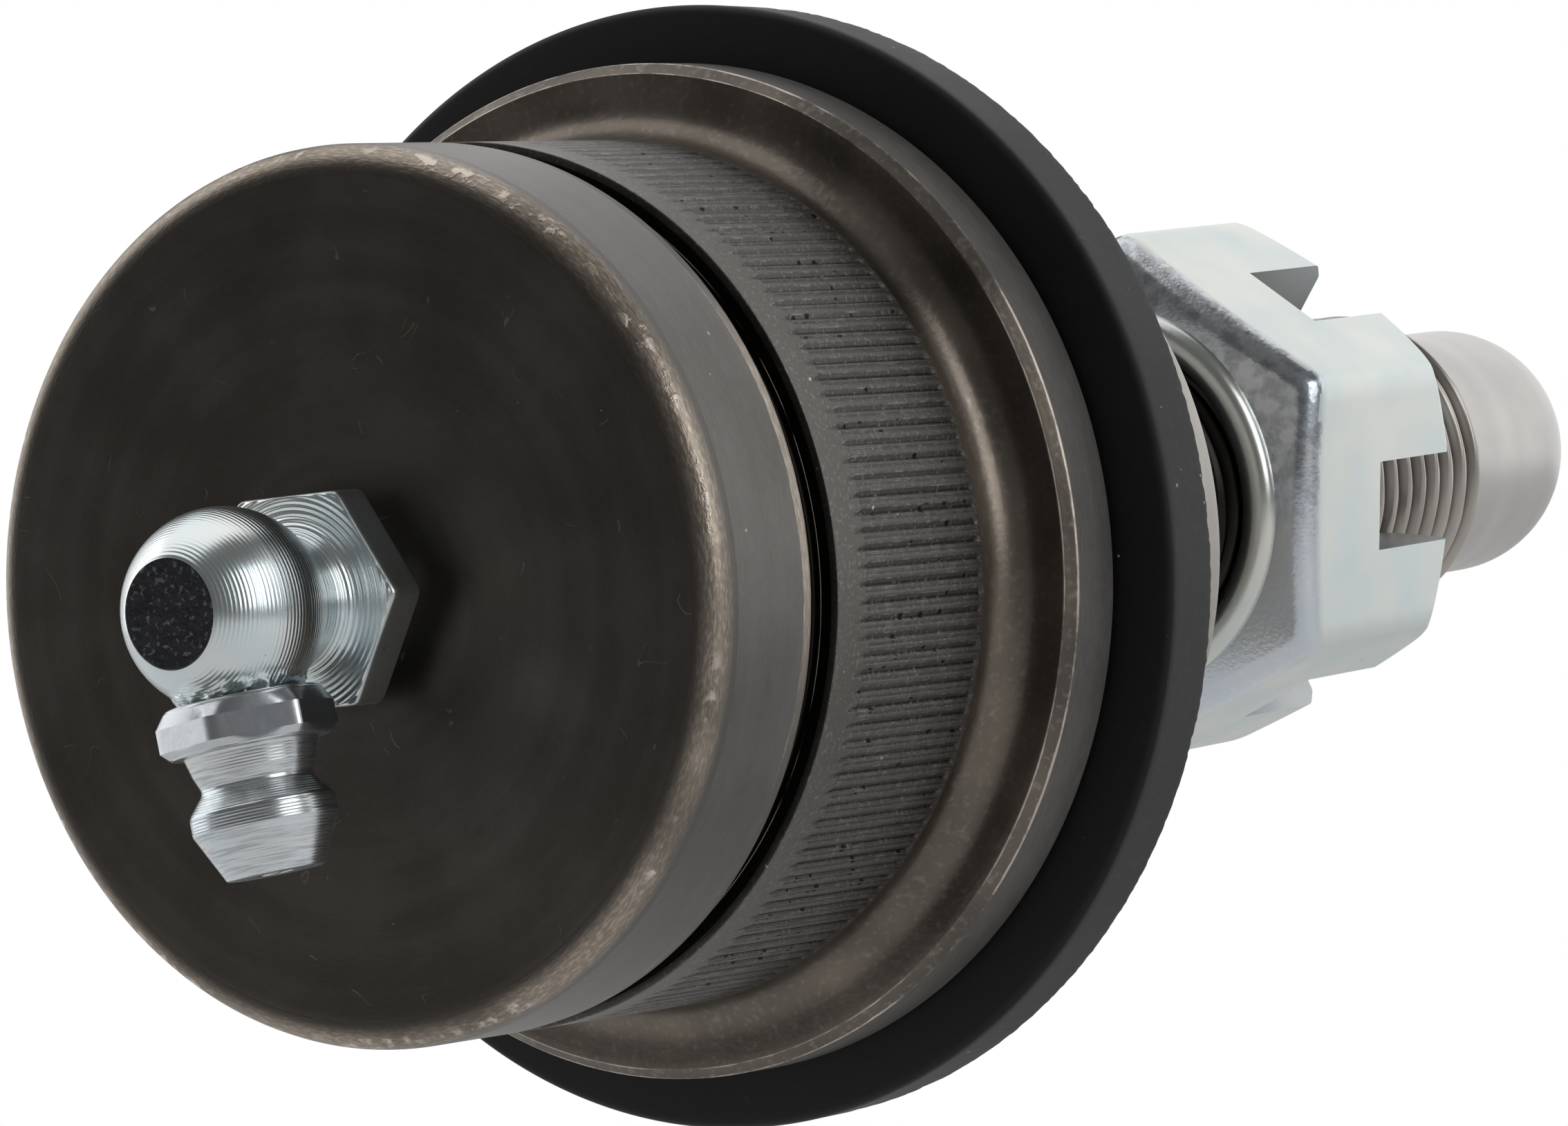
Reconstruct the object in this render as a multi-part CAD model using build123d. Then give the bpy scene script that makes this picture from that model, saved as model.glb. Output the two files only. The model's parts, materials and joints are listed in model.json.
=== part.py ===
from build123d import *
import math
import os

# Press-in suspension ball joint. Millimetres.
# Frame: +Y runs along the housing towards the stud end, +Z is up, and the origin is on the
# housing axis in the plane of the flange face that seats against the knuckle.
# The stud side (stud, nut, boot ring) leans at rest by STUD_LEAN about the ball centre.

# ---- Housing, outside ----
BODY_DIAMETER = 40.5
BODY_LENGTH = 22.9
RIM_RADIUS = 1.3
GROOVE_FROM_END = 7.3
GROOVE_WIDTH = 2.0
GROOVE_DEPTH = 1.3
GROOVE_CHAMFER = 0.25
SEAT_FILLET = 1.9
FLANGE_DIAMETER = 47.6
FLANGE_THICKNESS = 3.5
FLANGE_CHAMFER = 0.5
LIP_CHAMFER = 0.8

# ---- Housing, inside ----
END_WALL = 4.4
BEARING_WALL = 2.6
COVER_SHOULDER = 1.1
NECK_WALL = 4.0
LIP_THICKNESS = 1.3
LIP_OVERHANG = 1.7

# ---- Ball, bearings and spring ----
BALL_DIAMETER = 27.0
BALL_FLAT_DIAMETER = 8.0
SPRING_HEIGHT = 1.8
SPRING_THICKNESS = 0.9
SPRING_BORE_DIAMETER = 14.0
LOWER_BEARING_FLOOR = 1.8
LOWER_BEARING_HOLE = 7.0
BEARING_EDGE_MARGIN = 2.5
BEARING_SPLIT = 0.4
GREASE_GROOVE_WIDTH = 1.6
GREASE_GROOVE_DEPTH = 0.7
GREASE_GROOVES = 6
COVER_THICKNESS = 2.4

# ---- Stud, lengths along its own axis, one after the other from the housing's lip ----
STUD_LEAN = 2.15
LARGEST_TILT = 20.0
STUD_NECK_DIAMETER = 15.0
STUD_NECK_FILLET = 2.0
NECK_LENGTH = 1.8
FLARE_LENGTH = 4.0
COLLAR_DIAMETER = 18.4
COLLAR_LENGTH = 5.6
TAPER_LENGTH = 16.0
TAPER_PER_LENGTH = 1 / 8
THREAD_DIAMETER = 15.88
THREAD_PITCH = 1.41
THREAD_DEPTH = 0.8
THREAD_LENGTH = 27.8
THREAD_CHAMFER = 1.4
UNDERCUT_DIAMETER = 13.9
UNDERCUT_WIDTH = 2.0
NOSE_DIAMETER = 13.0
NOSE_LENGTH = 14.3
COTTER_HOLE_DIAMETER = 4.0

# ---- Castle nut ----
NUT_STAND_OFF = 2.2
NUT_HEIGHT = 15.6
NUT_ACROSS_FLATS = 23.8
NUT_CORNER_ANGLE = 64.0
NUT_SLOT_WIDTH = 4.5
NUT_SLOT_DEPTH = 7.5
NUT_WASHER_DIAMETER = 21.4
NUT_WASHER_HEIGHT = 0.3
NUT_COUNTERSINK_DIAMETER = 18.0
NUT_COUNTERSINK_ANGLE = 45.0
NUT_SEAT_BEVEL = 16.0
NUT_CROWN_DIAMETER = 22.8
NUT_CROWN_BEVEL = 45.0

# ---- Dust boot and its rings ----
BOOT_BEAD_THICKNESS = 3.85
BOOT_FRONT_RISE = 0.3
BOOT_BAND_WIDTH = 3.35
BOOT_WALL = 1.8
BOOT_WAIST_STEP = 1.75
BOOT_TOP_DIAMETER = 37.4
BASE_RING_THICKNESS = 1.2
BASE_RING_BELOW_LIP = 1.65
TOP_RING_DIAMETER = 38.0
TOP_RING_STAND_OFF = 2.9
TOP_RING_THICKNESS = 2.2
TOP_RING_WEB = 1.3
TOP_RING_RIM = 2.6

# ---- Elbow grease fitting, measured out from the housing's end face ----
HEX_STAND_OFF = 1.5
HEX_THICKNESS = 2.0
HEX_ACROSS_FLATS = 9.53
HEX_CORNER_ANGLE = 25.0
SHANK_DIAMETER = 6.4
SHANK_LENGTH = 4.6
ELBOW_NECK_DIAMETER = 6.0
ELBOW_BALL_DIAMETER = 9.04
ELBOW_BALL_OUT = 8.6
ELBOW_END_OUT = 12.4
ELBOW_PASSAGE_DIAMETER = 2.4

# ---- Grease nipple, measured along its own axis from the elbow ball's centre ----
NIPPLE_TURN = 12.0
NIPPLE_SEAT = 3.95
NIPPLE_STEM_DIAMETER = 3.8
NIPPLE_STEM_LENGTH = 2.4
NIPPLE_HEX_ACROSS_FLATS = 7.0
NIPPLE_HEX_THICKNESS = 2.2
NIPPLE_HEX_TURN = 33.0
NIPPLE_WAIST_DIAMETER = 4.9
NIPPLE_WAIST = 7.8
NIPPLE_HEAD_DIAMETER = 6.5
NIPPLE_HEAD_START = 8.7
NIPPLE_HEAD_END = 9.6
NIPPLE_TIP_DIAMETER = 4.3
NIPPLE_LENGTH = 11.75
NIPPLE_BORE_DIAMETER = 2.1
NIPPLE_MOUTH_DIAMETER = 1.6
NIPPLE_MOUTH_LAND = 0.4
NIPPLE_SPRING_SEAT = 7.5
CHECK_BALL_DIAMETER = 1.9
CHECK_SPRING_WIRE = 0.22
CHECK_SPRING_TURNS = 3.5

# ---- Clearances ----
RUNNING_FIT = 0.05
SOFT_GAP = 0.3

# ---- Worked-out places ----
BODY_R = BODY_DIAMETER / 2
BALL_R = BALL_DIAMETER / 2
BORE_R = BALL_R + BEARING_WALL
COVER_BORE_R = BORE_R + COVER_SHOULDER
LIP_BORE_R = COVER_BORE_R - LIP_OVERHANG
NECK_R = COVER_BORE_R + NECK_WALL
BEARING_EDGE_ANGLE = (
    math.degrees(math.asin(STUD_NECK_DIAMETER / BALL_DIAMETER)) + LARGEST_TILT + BEARING_EDGE_MARGIN
)
UPPER_BEARING_HEIGHT = BALL_R * math.cos(math.radians(BEARING_EDGE_ANGLE))
END_FACE_Y = -BODY_LENGTH
FLOOR_Y = END_FACE_Y + END_WALL
LOWER_BEARING_Y = FLOOR_Y + SPRING_HEIGHT
BALL_Y = LOWER_BEARING_Y + LOWER_BEARING_FLOOR + BALL_R
COVER_Y = BALL_Y + UPPER_BEARING_HEIGHT
COVER_TOP_Y = COVER_Y + COVER_THICKNESS
HOUSING_TOP_Y = COVER_TOP_Y + LIP_THICKNESS
BEARING_SPHERE_R = BALL_R + RUNNING_FIT
FLARE_START = HOUSING_TOP_Y - BALL_Y + NECK_LENGTH
FLARE_END = FLARE_START + FLARE_LENGTH
COLLAR_END = FLARE_END + COLLAR_LENGTH
THREAD_START = COLLAR_END + TAPER_LENGTH
THREAD_END = THREAD_START + THREAD_LENGTH
NOSE_START = THREAD_END + THREAD_CHAMFER
STUD_END = NOSE_START + NOSE_LENGTH
NUT_SEAT = THREAD_START + NUT_STAND_OFF
NUT_TOP = NUT_SEAT + NUT_HEIGHT
TOP_RING_START = FLARE_END + TOP_RING_STAND_OFF
BASE_RING_INNER_R = NECK_R + RUNNING_FIT
BASE_RING_END = HOUSING_TOP_Y - BASE_RING_BELOW_LIP
BOOT_BEAD_R = BASE_RING_INNER_R + BASE_RING_THICKNESS + SOFT_GAP
ELBOW_Y = END_FACE_Y - ELBOW_BALL_OUT
HOUSING_AXIS = Axis((0, 0, 0), (0, 1, 0))


def turned(*edges):
    """Solid of revolution about +Y from joined outline edges drawn as (radius, y)."""
    return revolve(make_face(Curve() + list(edges)), Axis.Y)


def outline(*points):
    """Straight outline through (radius, y) points."""
    return Polyline(*points)


def washer(outer_r, inner_r, start, end):
    """Plain ring about +Y."""
    return turned(
        outline((inner_r, start), (outer_r, start), (outer_r, end), (inner_r, end), (inner_r, start))
    )


def rod(radius, start, end):
    """Plain cylinder about +Y."""
    return turned(outline((0, start), (radius, start), (radius, end), (0, end), (0, start)))


def hexagon(across_flats, start, end, corner_angle):
    """Hexagonal bar about +Y, with a corner at corner_angle from +Z towards +X."""
    section = Plane((0, start, 0), x_dir=(1, 0, 0), z_dir=(0, 1, 0))
    shape = RegularPolygon(across_flats / math.sqrt(3), 6, rotation=corner_angle - 90)
    return extrude(section * shape, end - start)


def ball_at_origin(radius):
    return Sphere(radius)


def on_stud(part):
    """Stand a part that is drawn from the ball centre on the leaning stud axis."""
    return Pos(0, BALL_Y, 0) * Rot(STUD_LEAN, 0, 0) * part


def on_elbow(part):
    """Turn a part that is drawn along +Y into the nipple's axis at the elbow ball."""
    return Pos(0, ELBOW_Y, 0) * Rot(0, -NIPPLE_TURN, 0) * Rot(-90, 0, 0) * part


def swing_radius(height, clearance):
    """Radius that the tilted stud neck sweeps at a height above the ball centre."""
    tilt = math.radians(LARGEST_TILT)
    return height * math.tan(tilt) + STUD_NECK_DIAMETER / 2 / math.cos(tilt) + clearance


def housing():
    port_r = SHANK_DIAMETER / 2 + RUNNING_FIT
    groove_y = END_FACE_Y + GROOVE_FROM_END
    groove_r = BODY_R - GROOVE_DEPTH
    flange_r = FLANGE_DIAMETER / 2
    rim = RadiusArc(
        (BODY_R - RIM_RADIUS, END_FACE_Y), (BODY_R, END_FACE_Y + RIM_RADIUS), -RIM_RADIUS
    )
    side = outline(
        (BODY_R, END_FACE_Y + RIM_RADIUS),
        (BODY_R, groove_y - GROOVE_CHAMFER),
        (BODY_R - GROOVE_CHAMFER, groove_y),
        (groove_r, groove_y),
        (groove_r, groove_y + GROOVE_WIDTH),
        (BODY_R, groove_y + GROOVE_WIDTH),
        (BODY_R, -SEAT_FILLET),
    )
    seat = RadiusArc((BODY_R, -SEAT_FILLET), (BODY_R + SEAT_FILLET, 0), SEAT_FILLET)
    rest = outline(
        (BODY_R + SEAT_FILLET, 0),
        (flange_r - FLANGE_CHAMFER, 0),
        (flange_r, FLANGE_CHAMFER),
        (flange_r, FLANGE_THICKNESS),
        (NECK_R, FLANGE_THICKNESS),
        (NECK_R, HOUSING_TOP_Y - LIP_CHAMFER),
        (NECK_R - LIP_CHAMFER, HOUSING_TOP_Y),
        (LIP_BORE_R, HOUSING_TOP_Y),
        (LIP_BORE_R, COVER_TOP_Y),
        (COVER_BORE_R, COVER_TOP_Y),
        (COVER_BORE_R, COVER_Y),
        (BORE_R, COVER_Y),
        (BORE_R, FLOOR_Y),
        (port_r, FLOOR_Y),
        (port_r, END_FACE_Y),
        (BODY_R - RIM_RADIUS, END_FACE_Y),
    )
    return turned(rim, side, seat, rest)


def cover_ring():
    outer_r = COVER_BORE_R - RUNNING_FIT
    low_r = swing_radius(UPPER_BEARING_HEIGHT, 2 * SOFT_GAP)
    top_r = swing_radius(UPPER_BEARING_HEIGHT + COVER_THICKNESS, 2 * SOFT_GAP)
    return turned(
        outline(
            (low_r, COVER_Y),
            (outer_r, COVER_Y),
            (outer_r, COVER_TOP_Y),
            (top_r, COVER_TOP_Y),
            (low_r, COVER_Y),
        )
    )


def grease_grooves(start, end):
    """Meridian grooves in the bearing sphere, spread round the axis."""
    groove = Box(GREASE_GROOVE_WIDTH, end - start, BEARING_SPHERE_R + GREASE_GROOVE_DEPTH)
    groove = Pos(0, (start + end) / 2, (BEARING_SPHERE_R + GREASE_GROOVE_DEPTH) / 2) * groove
    limit = Pos(0, BALL_Y, 0) * ball_at_origin(BEARING_SPHERE_R + GREASE_GROOVE_DEPTH)
    step = 360 / GREASE_GROOVES
    return [(Rot(0, step * i, 0) * groove) & limit for i in range(GREASE_GROOVES)]


def upper_bearing():
    start = BALL_Y + BEARING_SPLIT / 2
    outer_r = BORE_R - RUNNING_FIT
    body = rod(outer_r, start, COVER_Y) - Pos(0, BALL_Y, 0) * ball_at_origin(BEARING_SPHERE_R)
    return body - grease_grooves(start, COVER_Y)


def lower_bearing():
    end = BALL_Y - BEARING_SPLIT / 2
    outer_r = BORE_R - RUNNING_FIT
    body = rod(outer_r, LOWER_BEARING_Y, end) - Pos(0, BALL_Y, 0) * ball_at_origin(BEARING_SPHERE_R)
    body -= rod(LOWER_BEARING_HOLE / 2, LOWER_BEARING_Y, end)
    return body - grease_grooves(LOWER_BEARING_Y + LOWER_BEARING_FLOOR, end)


def preload_spring():
    """Conical disc spring that presses the lower bearing on the ball."""
    outer_r = BORE_R - SOFT_GAP
    inner_r = SPRING_BORE_DIAMETER / 2
    top_y = LOWER_BEARING_Y
    return turned(
        outline(
            (outer_r, FLOOR_Y),
            (outer_r, FLOOR_Y + SPRING_THICKNESS),
            (inner_r, top_y),
            (inner_r, top_y - SPRING_THICKNESS),
            (outer_r, FLOOR_Y),
        )
    )


def ball_stud():
    """Forged ball stud: ball, neck, collar, taper, threaded end with a round nose."""
    neck_r = STUD_NECK_DIAMETER / 2
    collar_r = COLLAR_DIAMETER / 2
    thread_r = THREAD_DIAMETER / 2
    nose_r = NOSE_DIAMETER / 2
    taper_end = THREAD_START - UNDERCUT_WIDTH
    taper_end_r = collar_r - (taper_end - COLLAR_END) * TAPER_PER_LENGTH / 2
    shank = outline(
        (0, 0),
        (neck_r, 0),
        (neck_r, FLARE_START),
        (collar_r, FLARE_END),
        (collar_r, COLLAR_END),
        (taper_end_r, taper_end),
        (UNDERCUT_DIAMETER / 2, taper_end + taper_end_r - UNDERCUT_DIAMETER / 2),
        (UNDERCUT_DIAMETER / 2, THREAD_START - thread_r + UNDERCUT_DIAMETER / 2 + UNDERCUT_WIDTH / 2),
        (thread_r, THREAD_START + UNDERCUT_WIDTH / 2),
        *thread_grooves(),
        (thread_r, THREAD_END),
        (thread_r - THREAD_CHAMFER, NOSE_START),
        (nose_r, NOSE_START),
        (nose_r, STUD_END - nose_r),
    )
    dome = RadiusArc((nose_r, STUD_END - nose_r), (0, STUD_END), -nose_r)
    axis_line = Line((0, STUD_END), (0, 0))
    stud = turned(shank, dome, axis_line)
    ball = ball_at_origin(BALL_R)
    flat_depth = math.sqrt(BALL_R**2 - (BALL_FLAT_DIAMETER / 2) ** 2)
    ball -= Pos(0, -flat_depth - BALL_R, 0) * Box(2 * BALL_R, 2 * BALL_R, 2 * BALL_R)
    stud += ball
    junction = math.sqrt(BALL_R**2 - neck_r**2)
    neck_edge = stud.edges().filter_by(GeomType.CIRCLE).sort_by_distance((neck_r, junction, 0))[0]
    stud = fillet(neck_edge, STUD_NECK_FILLET)
    return on_stud(stud - cotter_hole())


def thread_grooves():
    """Outline points of the V-grooves that stand for the screw thread beyond the nut."""
    crest_r = THREAD_DIAMETER / 2
    turns = int((THREAD_END - NUT_TOP) / THREAD_PITCH)
    start = THREAD_END - turns * THREAD_PITCH
    points = []
    for i in range(turns):
        crest = start + i * THREAD_PITCH
        points.append((crest_r, crest))
        points.append((crest_r - THREAD_DEPTH, crest + THREAD_PITCH / 2))
    return points


def cotter_hole():
    """Cross-hole for the split pin, in line with one pair of the nut's slots."""
    height = NUT_TOP - NUT_SLOT_DEPTH / 2
    hole = Cylinder(COTTER_HOLE_DIAMETER / 2, THREAD_DIAMETER + 2)
    return Pos(0, height, 0) * Rot(0, NUT_CORNER_ANGLE - 30, 0) * hole


def castle_nut():
    """Slotted hexagon nut, bevelled on both faces, with a raised washer face."""
    flat_r = NUT_ACROSS_FLATS / 2
    corner_r = NUT_ACROSS_FLATS / math.sqrt(3)
    washer_r = NUT_WASHER_DIAMETER / 2
    crown_r = NUT_CROWN_DIAMETER / 2
    bore_r = THREAD_DIAMETER / 2 + RUNNING_FIT
    sink_r = NUT_COUNTERSINK_DIAMETER / 2
    seat_drop = (corner_r - washer_r) * math.tan(math.radians(NUT_SEAT_BEVEL))
    crown_drop = (corner_r - crown_r) * math.tan(math.radians(NUT_CROWN_BEVEL))
    sink_depth = (sink_r - bore_r) / math.tan(math.radians(NUT_COUNTERSINK_ANGLE))
    envelope = turned(
        outline(
            (sink_r, NUT_SEAT),
            (washer_r, NUT_SEAT),
            (washer_r, NUT_SEAT + NUT_WASHER_HEIGHT),
            (corner_r, NUT_SEAT + NUT_WASHER_HEIGHT + seat_drop),
            (corner_r, NUT_TOP - crown_drop),
            (crown_r, NUT_TOP),
            (bore_r, NUT_TOP),
            (bore_r, NUT_SEAT + sink_depth),
            (sink_r, NUT_SEAT),
        )
    )
    nut = envelope & hexagon(NUT_ACROSS_FLATS, NUT_SEAT, NUT_TOP, NUT_CORNER_ANGLE)
    slot = Box(NUT_SLOT_WIDTH, NUT_SLOT_DEPTH, 3 * flat_r)
    slot = Pos(0, NUT_TOP - NUT_SLOT_DEPTH / 2, 0) * slot
    for i in range(3):
        nut -= Rot(0, NUT_CORNER_ANGLE + 30 + 60 * i, 0) * slot
    return on_stud(nut)


def boot_base_ring():
    """Steel ring inside the boot's bead, pressed over the housing neck."""
    outer_r = BASE_RING_INNER_R + BASE_RING_THICKNESS
    return washer(outer_r, BASE_RING_INNER_R, FLANGE_THICKNESS + RUNNING_FIT, BASE_RING_END)


def dust_boot():
    """Rubber boot: heavy bead with a square band, then one fold up to the top ring."""
    outer_r = BOOT_BEAD_R + BOOT_BEAD_THICKNESS
    waist_r = BOOT_BEAD_R - BOOT_WAIST_STEP
    top_r = BOOT_TOP_DIAMETER / 2
    front = FLANGE_THICKNESS + SOFT_GAP
    band_start = front + BOOT_FRONT_RISE
    band_end = band_start + BOOT_BAND_WIDTH
    bead_end = BASE_RING_END + SOFT_GAP
    top = BALL_Y + TOP_RING_START + BOOT_WALL
    waist = (bead_end + top) / 2 - BOOT_WALL / 2
    shoulder = (band_end + waist) / 2
    shoulder_r = (outer_r + waist_r) / 2
    boot = turned(
        outline(
            (BOOT_BEAD_R, front),
            (outer_r, band_start),
            (outer_r, band_end),
            (shoulder_r, shoulder),
            (waist_r, waist),
            (top_r, top),
            (top_r - BOOT_WALL, top),
            (waist_r - BOOT_WALL, waist + BOOT_WALL / 2),
            (waist_r - BOOT_WALL / 2, waist - BOOT_WALL / 2),
            (BOOT_BEAD_R, bead_end),
            (BOOT_BEAD_R, front),
        )
    )
    return boot - on_stud(rod(outer_r, TOP_RING_START - SOFT_GAP, TOP_RING_START + outer_r))


def boot_top_ring():
    """Sealing ring on the boot's small end, running on the stud's collar."""
    inner_r = COLLAR_DIAMETER / 2 + RUNNING_FIT
    outer_r = TOP_RING_DIAMETER / 2
    end = TOP_RING_START + TOP_RING_THICKNESS
    web = end - TOP_RING_WEB
    return on_stud(
        turned(
            outline(
                (inner_r, web),
                (outer_r - TOP_RING_RIM, web),
                (outer_r - TOP_RING_RIM, TOP_RING_START),
                (outer_r, TOP_RING_START),
                (outer_r, end),
                (inner_r, end),
                (inner_r, web),
            )
        )
    )


def fitting_elbow():
    """Turned elbow: threaded shank, hexagon, neck and a ball with one flat end."""
    shank_r = SHANK_DIAMETER / 2
    hex_back = END_FACE_Y - HEX_STAND_OFF
    hex_front = hex_back - HEX_THICKNESS
    elbow = rod(shank_r, hex_back, hex_back + SHANK_LENGTH)
    elbow += hexagon(HEX_ACROSS_FLATS, hex_front, hex_back, HEX_CORNER_ANGLE)
    elbow += rod(ELBOW_NECK_DIAMETER / 2, ELBOW_Y, hex_front)
    elbow += Pos(0, ELBOW_Y, 0) * ball_at_origin(ELBOW_BALL_DIAMETER / 2)
    end_y = END_FACE_Y - ELBOW_END_OUT
    elbow -= Pos(0, end_y - ELBOW_BALL_DIAMETER / 2, 0) * Box(
        ELBOW_BALL_DIAMETER, ELBOW_BALL_DIAMETER, ELBOW_BALL_DIAMETER
    )
    elbow -= rod(ELBOW_PASSAGE_DIAMETER / 2, ELBOW_Y, hex_back + SHANK_LENGTH)
    seat = rod(ELBOW_BALL_DIAMETER, NIPPLE_SEAT, ELBOW_BALL_DIAMETER)
    elbow -= on_elbow(seat)
    elbow -= on_elbow(rod(NIPPLE_STEM_DIAMETER / 2 + RUNNING_FIT, 0, NIPPLE_SEAT))
    return elbow


def grease_nipple():
    """Pressed-in nipple: stem, hexagon collar, waist, head and a flat tip with a ball seat."""
    hex_end = NIPPLE_SEAT + NIPPLE_HEX_THICKNESS
    corner_r = NIPPLE_HEX_ACROSS_FLATS / math.sqrt(3)
    flat_r = NIPPLE_HEX_ACROSS_FLATS / 2
    bevel = (corner_r - flat_r) * 1.4
    collar = hexagon(NIPPLE_HEX_ACROSS_FLATS, NIPPLE_SEAT, hex_end, NIPPLE_HEX_TURN)
    collar &= turned(
        outline(
            (0, NIPPLE_SEAT),
            (flat_r, NIPPLE_SEAT),
            (corner_r, NIPPLE_SEAT + bevel),
            (corner_r, hex_end - bevel / 2),
            (flat_r, hex_end),
            (0, hex_end),
            (0, NIPPLE_SEAT),
        )
    )
    head_r = NIPPLE_HEAD_DIAMETER / 2
    waist_r = NIPPLE_WAIST_DIAMETER / 2
    collar_r = flat_r - 0.5
    body = turned(
        outline(
            (0, NIPPLE_SEAT - NIPPLE_STEM_LENGTH),
            (NIPPLE_STEM_DIAMETER / 2, NIPPLE_SEAT - NIPPLE_STEM_LENGTH),
            (NIPPLE_STEM_DIAMETER / 2, NIPPLE_SEAT),
            (collar_r, hex_end),
            (waist_r, NIPPLE_WAIST),
        ),
        ThreePointArc(
            (waist_r, NIPPLE_WAIST),
            ((waist_r + head_r) / 2 + 0.15, (NIPPLE_WAIST + NIPPLE_HEAD_START) / 2),
            (head_r, NIPPLE_HEAD_START),
        ),
        outline(
            (head_r, NIPPLE_HEAD_START),
            (head_r, NIPPLE_HEAD_END),
            (NIPPLE_TIP_DIAMETER / 2, NIPPLE_LENGTH),
            (0, NIPPLE_LENGTH),
            (0, NIPPLE_SEAT - NIPPLE_STEM_LENGTH),
        ),
    )
    bore_r = NIPPLE_BORE_DIAMETER / 2
    mouth_r = NIPPLE_MOUTH_DIAMETER / 2
    bore = turned(
        outline(
            (0, NIPPLE_SPRING_SEAT),
            (bore_r, NIPPLE_SPRING_SEAT),
            (bore_r, check_ball_place()),
            (mouth_r, check_ball_place() + CHECK_BALL_DIAMETER / 4),
            (mouth_r, NIPPLE_LENGTH),
            (0, NIPPLE_LENGTH),
            (0, NIPPLE_SPRING_SEAT),
        )
    )
    passage = rod(bore_r / 2, NIPPLE_SEAT - NIPPLE_STEM_LENGTH, NIPPLE_SPRING_SEAT)
    seat = Pos(0, check_ball_place(), 0) * ball_at_origin(CHECK_BALL_DIAMETER / 2 + RUNNING_FIT / 2)
    return on_elbow(collar + body - bore - passage - seat)


def check_ball_place():
    """Distance of the check ball's centre from the elbow ball's centre."""
    ball_r = CHECK_BALL_DIAMETER / 2
    seat_height = math.sqrt(ball_r**2 - (NIPPLE_MOUTH_DIAMETER / 2) ** 2)
    return NIPPLE_LENGTH - NIPPLE_MOUTH_LAND - seat_height


def nipple_check_ball():
    return on_elbow(Pos(0, check_ball_place(), 0) * ball_at_origin(CHECK_BALL_DIAMETER / 2))


def nipple_check_spring():
    """Small coil spring under the check ball."""
    wire_r = CHECK_SPRING_WIRE / 2
    start = NIPPLE_SPRING_SEAT + wire_r
    end = check_ball_place() - CHECK_BALL_DIAMETER / 2 - wire_r
    coil_r = NIPPLE_BORE_DIAMETER / 2 - wire_r - SOFT_GAP / 2
    path = Helix((end - start) / CHECK_SPRING_TURNS, end - start, coil_r)
    section = Plane(path @ 0, z_dir=path % 0) * Circle(wire_r)
    coil = sweep(section, path, is_frenet=True)
    return on_elbow(Pos(0, start, 0) * Rot(-90, 0, 0) * coil)


PARTS = {
    "housing": housing,
    "cover_ring": cover_ring,
    "upper_bearing": upper_bearing,
    "lower_bearing": lower_bearing,
    "preload_spring": preload_spring,
    "ball_stud": ball_stud,
    "castle_nut": castle_nut,
    "dust_boot": dust_boot,
    "boot_base_ring": boot_base_ring,
    "boot_top_ring": boot_top_ring,
    "fitting_elbow": fitting_elbow,
    "grease_nipple": grease_nipple,
    "nipple_check_ball": nipple_check_ball,
    "nipple_check_spring": nipple_check_spring,
}

os.makedirs("parts", exist_ok=True)
for name, make in PARTS.items():
    export_step(make(), f"parts/{name}.step")
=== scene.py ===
import bmesh
import bpy
import json
import math
from mathutils import Matrix, Vector, noise


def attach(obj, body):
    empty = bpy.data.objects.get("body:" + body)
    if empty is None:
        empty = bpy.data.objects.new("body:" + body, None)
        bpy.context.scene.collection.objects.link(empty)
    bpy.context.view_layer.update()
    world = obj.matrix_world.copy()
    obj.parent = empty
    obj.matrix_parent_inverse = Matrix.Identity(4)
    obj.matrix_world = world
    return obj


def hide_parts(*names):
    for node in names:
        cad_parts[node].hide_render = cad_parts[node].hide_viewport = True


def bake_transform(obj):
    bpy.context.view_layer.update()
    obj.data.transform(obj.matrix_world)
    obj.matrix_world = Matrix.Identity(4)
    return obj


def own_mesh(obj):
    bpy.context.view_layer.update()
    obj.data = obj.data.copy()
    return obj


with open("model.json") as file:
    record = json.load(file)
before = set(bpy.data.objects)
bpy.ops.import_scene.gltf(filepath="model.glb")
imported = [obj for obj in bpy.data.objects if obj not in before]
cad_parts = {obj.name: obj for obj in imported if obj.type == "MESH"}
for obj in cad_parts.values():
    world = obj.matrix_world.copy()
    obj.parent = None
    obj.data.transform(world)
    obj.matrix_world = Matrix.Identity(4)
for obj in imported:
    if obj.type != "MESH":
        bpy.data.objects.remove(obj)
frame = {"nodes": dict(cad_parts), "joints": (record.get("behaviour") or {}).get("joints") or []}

MM = 0.001
TURN = 2 * math.pi
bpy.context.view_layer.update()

# ---- Sizes, in millimetres, about the housing axis (+Y) with 0 at the flange's seating face ----
BODY_R = 20.25
END_FACE = -22.9
RIM_RADIUS = 1.3
GROOVE_START = -15.6
GROOVE_END = -13.6
GROOVE_R = 18.95
GROOVE_LIP = 0.65
KNURL_START = -12.13
KNURL_END = -1.9
KNURL_GROOVES = 160
KNURL_DEPTH = 0.16
KNURL_NEAR_WIDTH = 0.36
KNURL_FAR_WIDTH = 0.1
KNURL_SECOND_LINE = 0.24
KNURL_TIP = 1.1
SEAT_FILLET = 1.9
FLANGE_R = 23.8
FLANGE_END = 3.5
NECK_R = 21.2
HOUSING_END = 9.8
PORT_R = 3.25
CAVITY_FLOOR = -18.5
CAVITY_R = 16.1
COVER_R = 17.2
COVER_START = 6.1
COVER_END = 8.5
LIP_R = 15.5
GROOVE_HIGHLIGHT_DEPTH = 0.93

# ---- Dust boot ----
BOOT_BAND_R = 26.3
BOOT_FLASH_START = 7.0
BOOT_FLASH_END = 7.8
BOOT_TOP_START = 16.5
BOOT_TOP = 18.0

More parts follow.
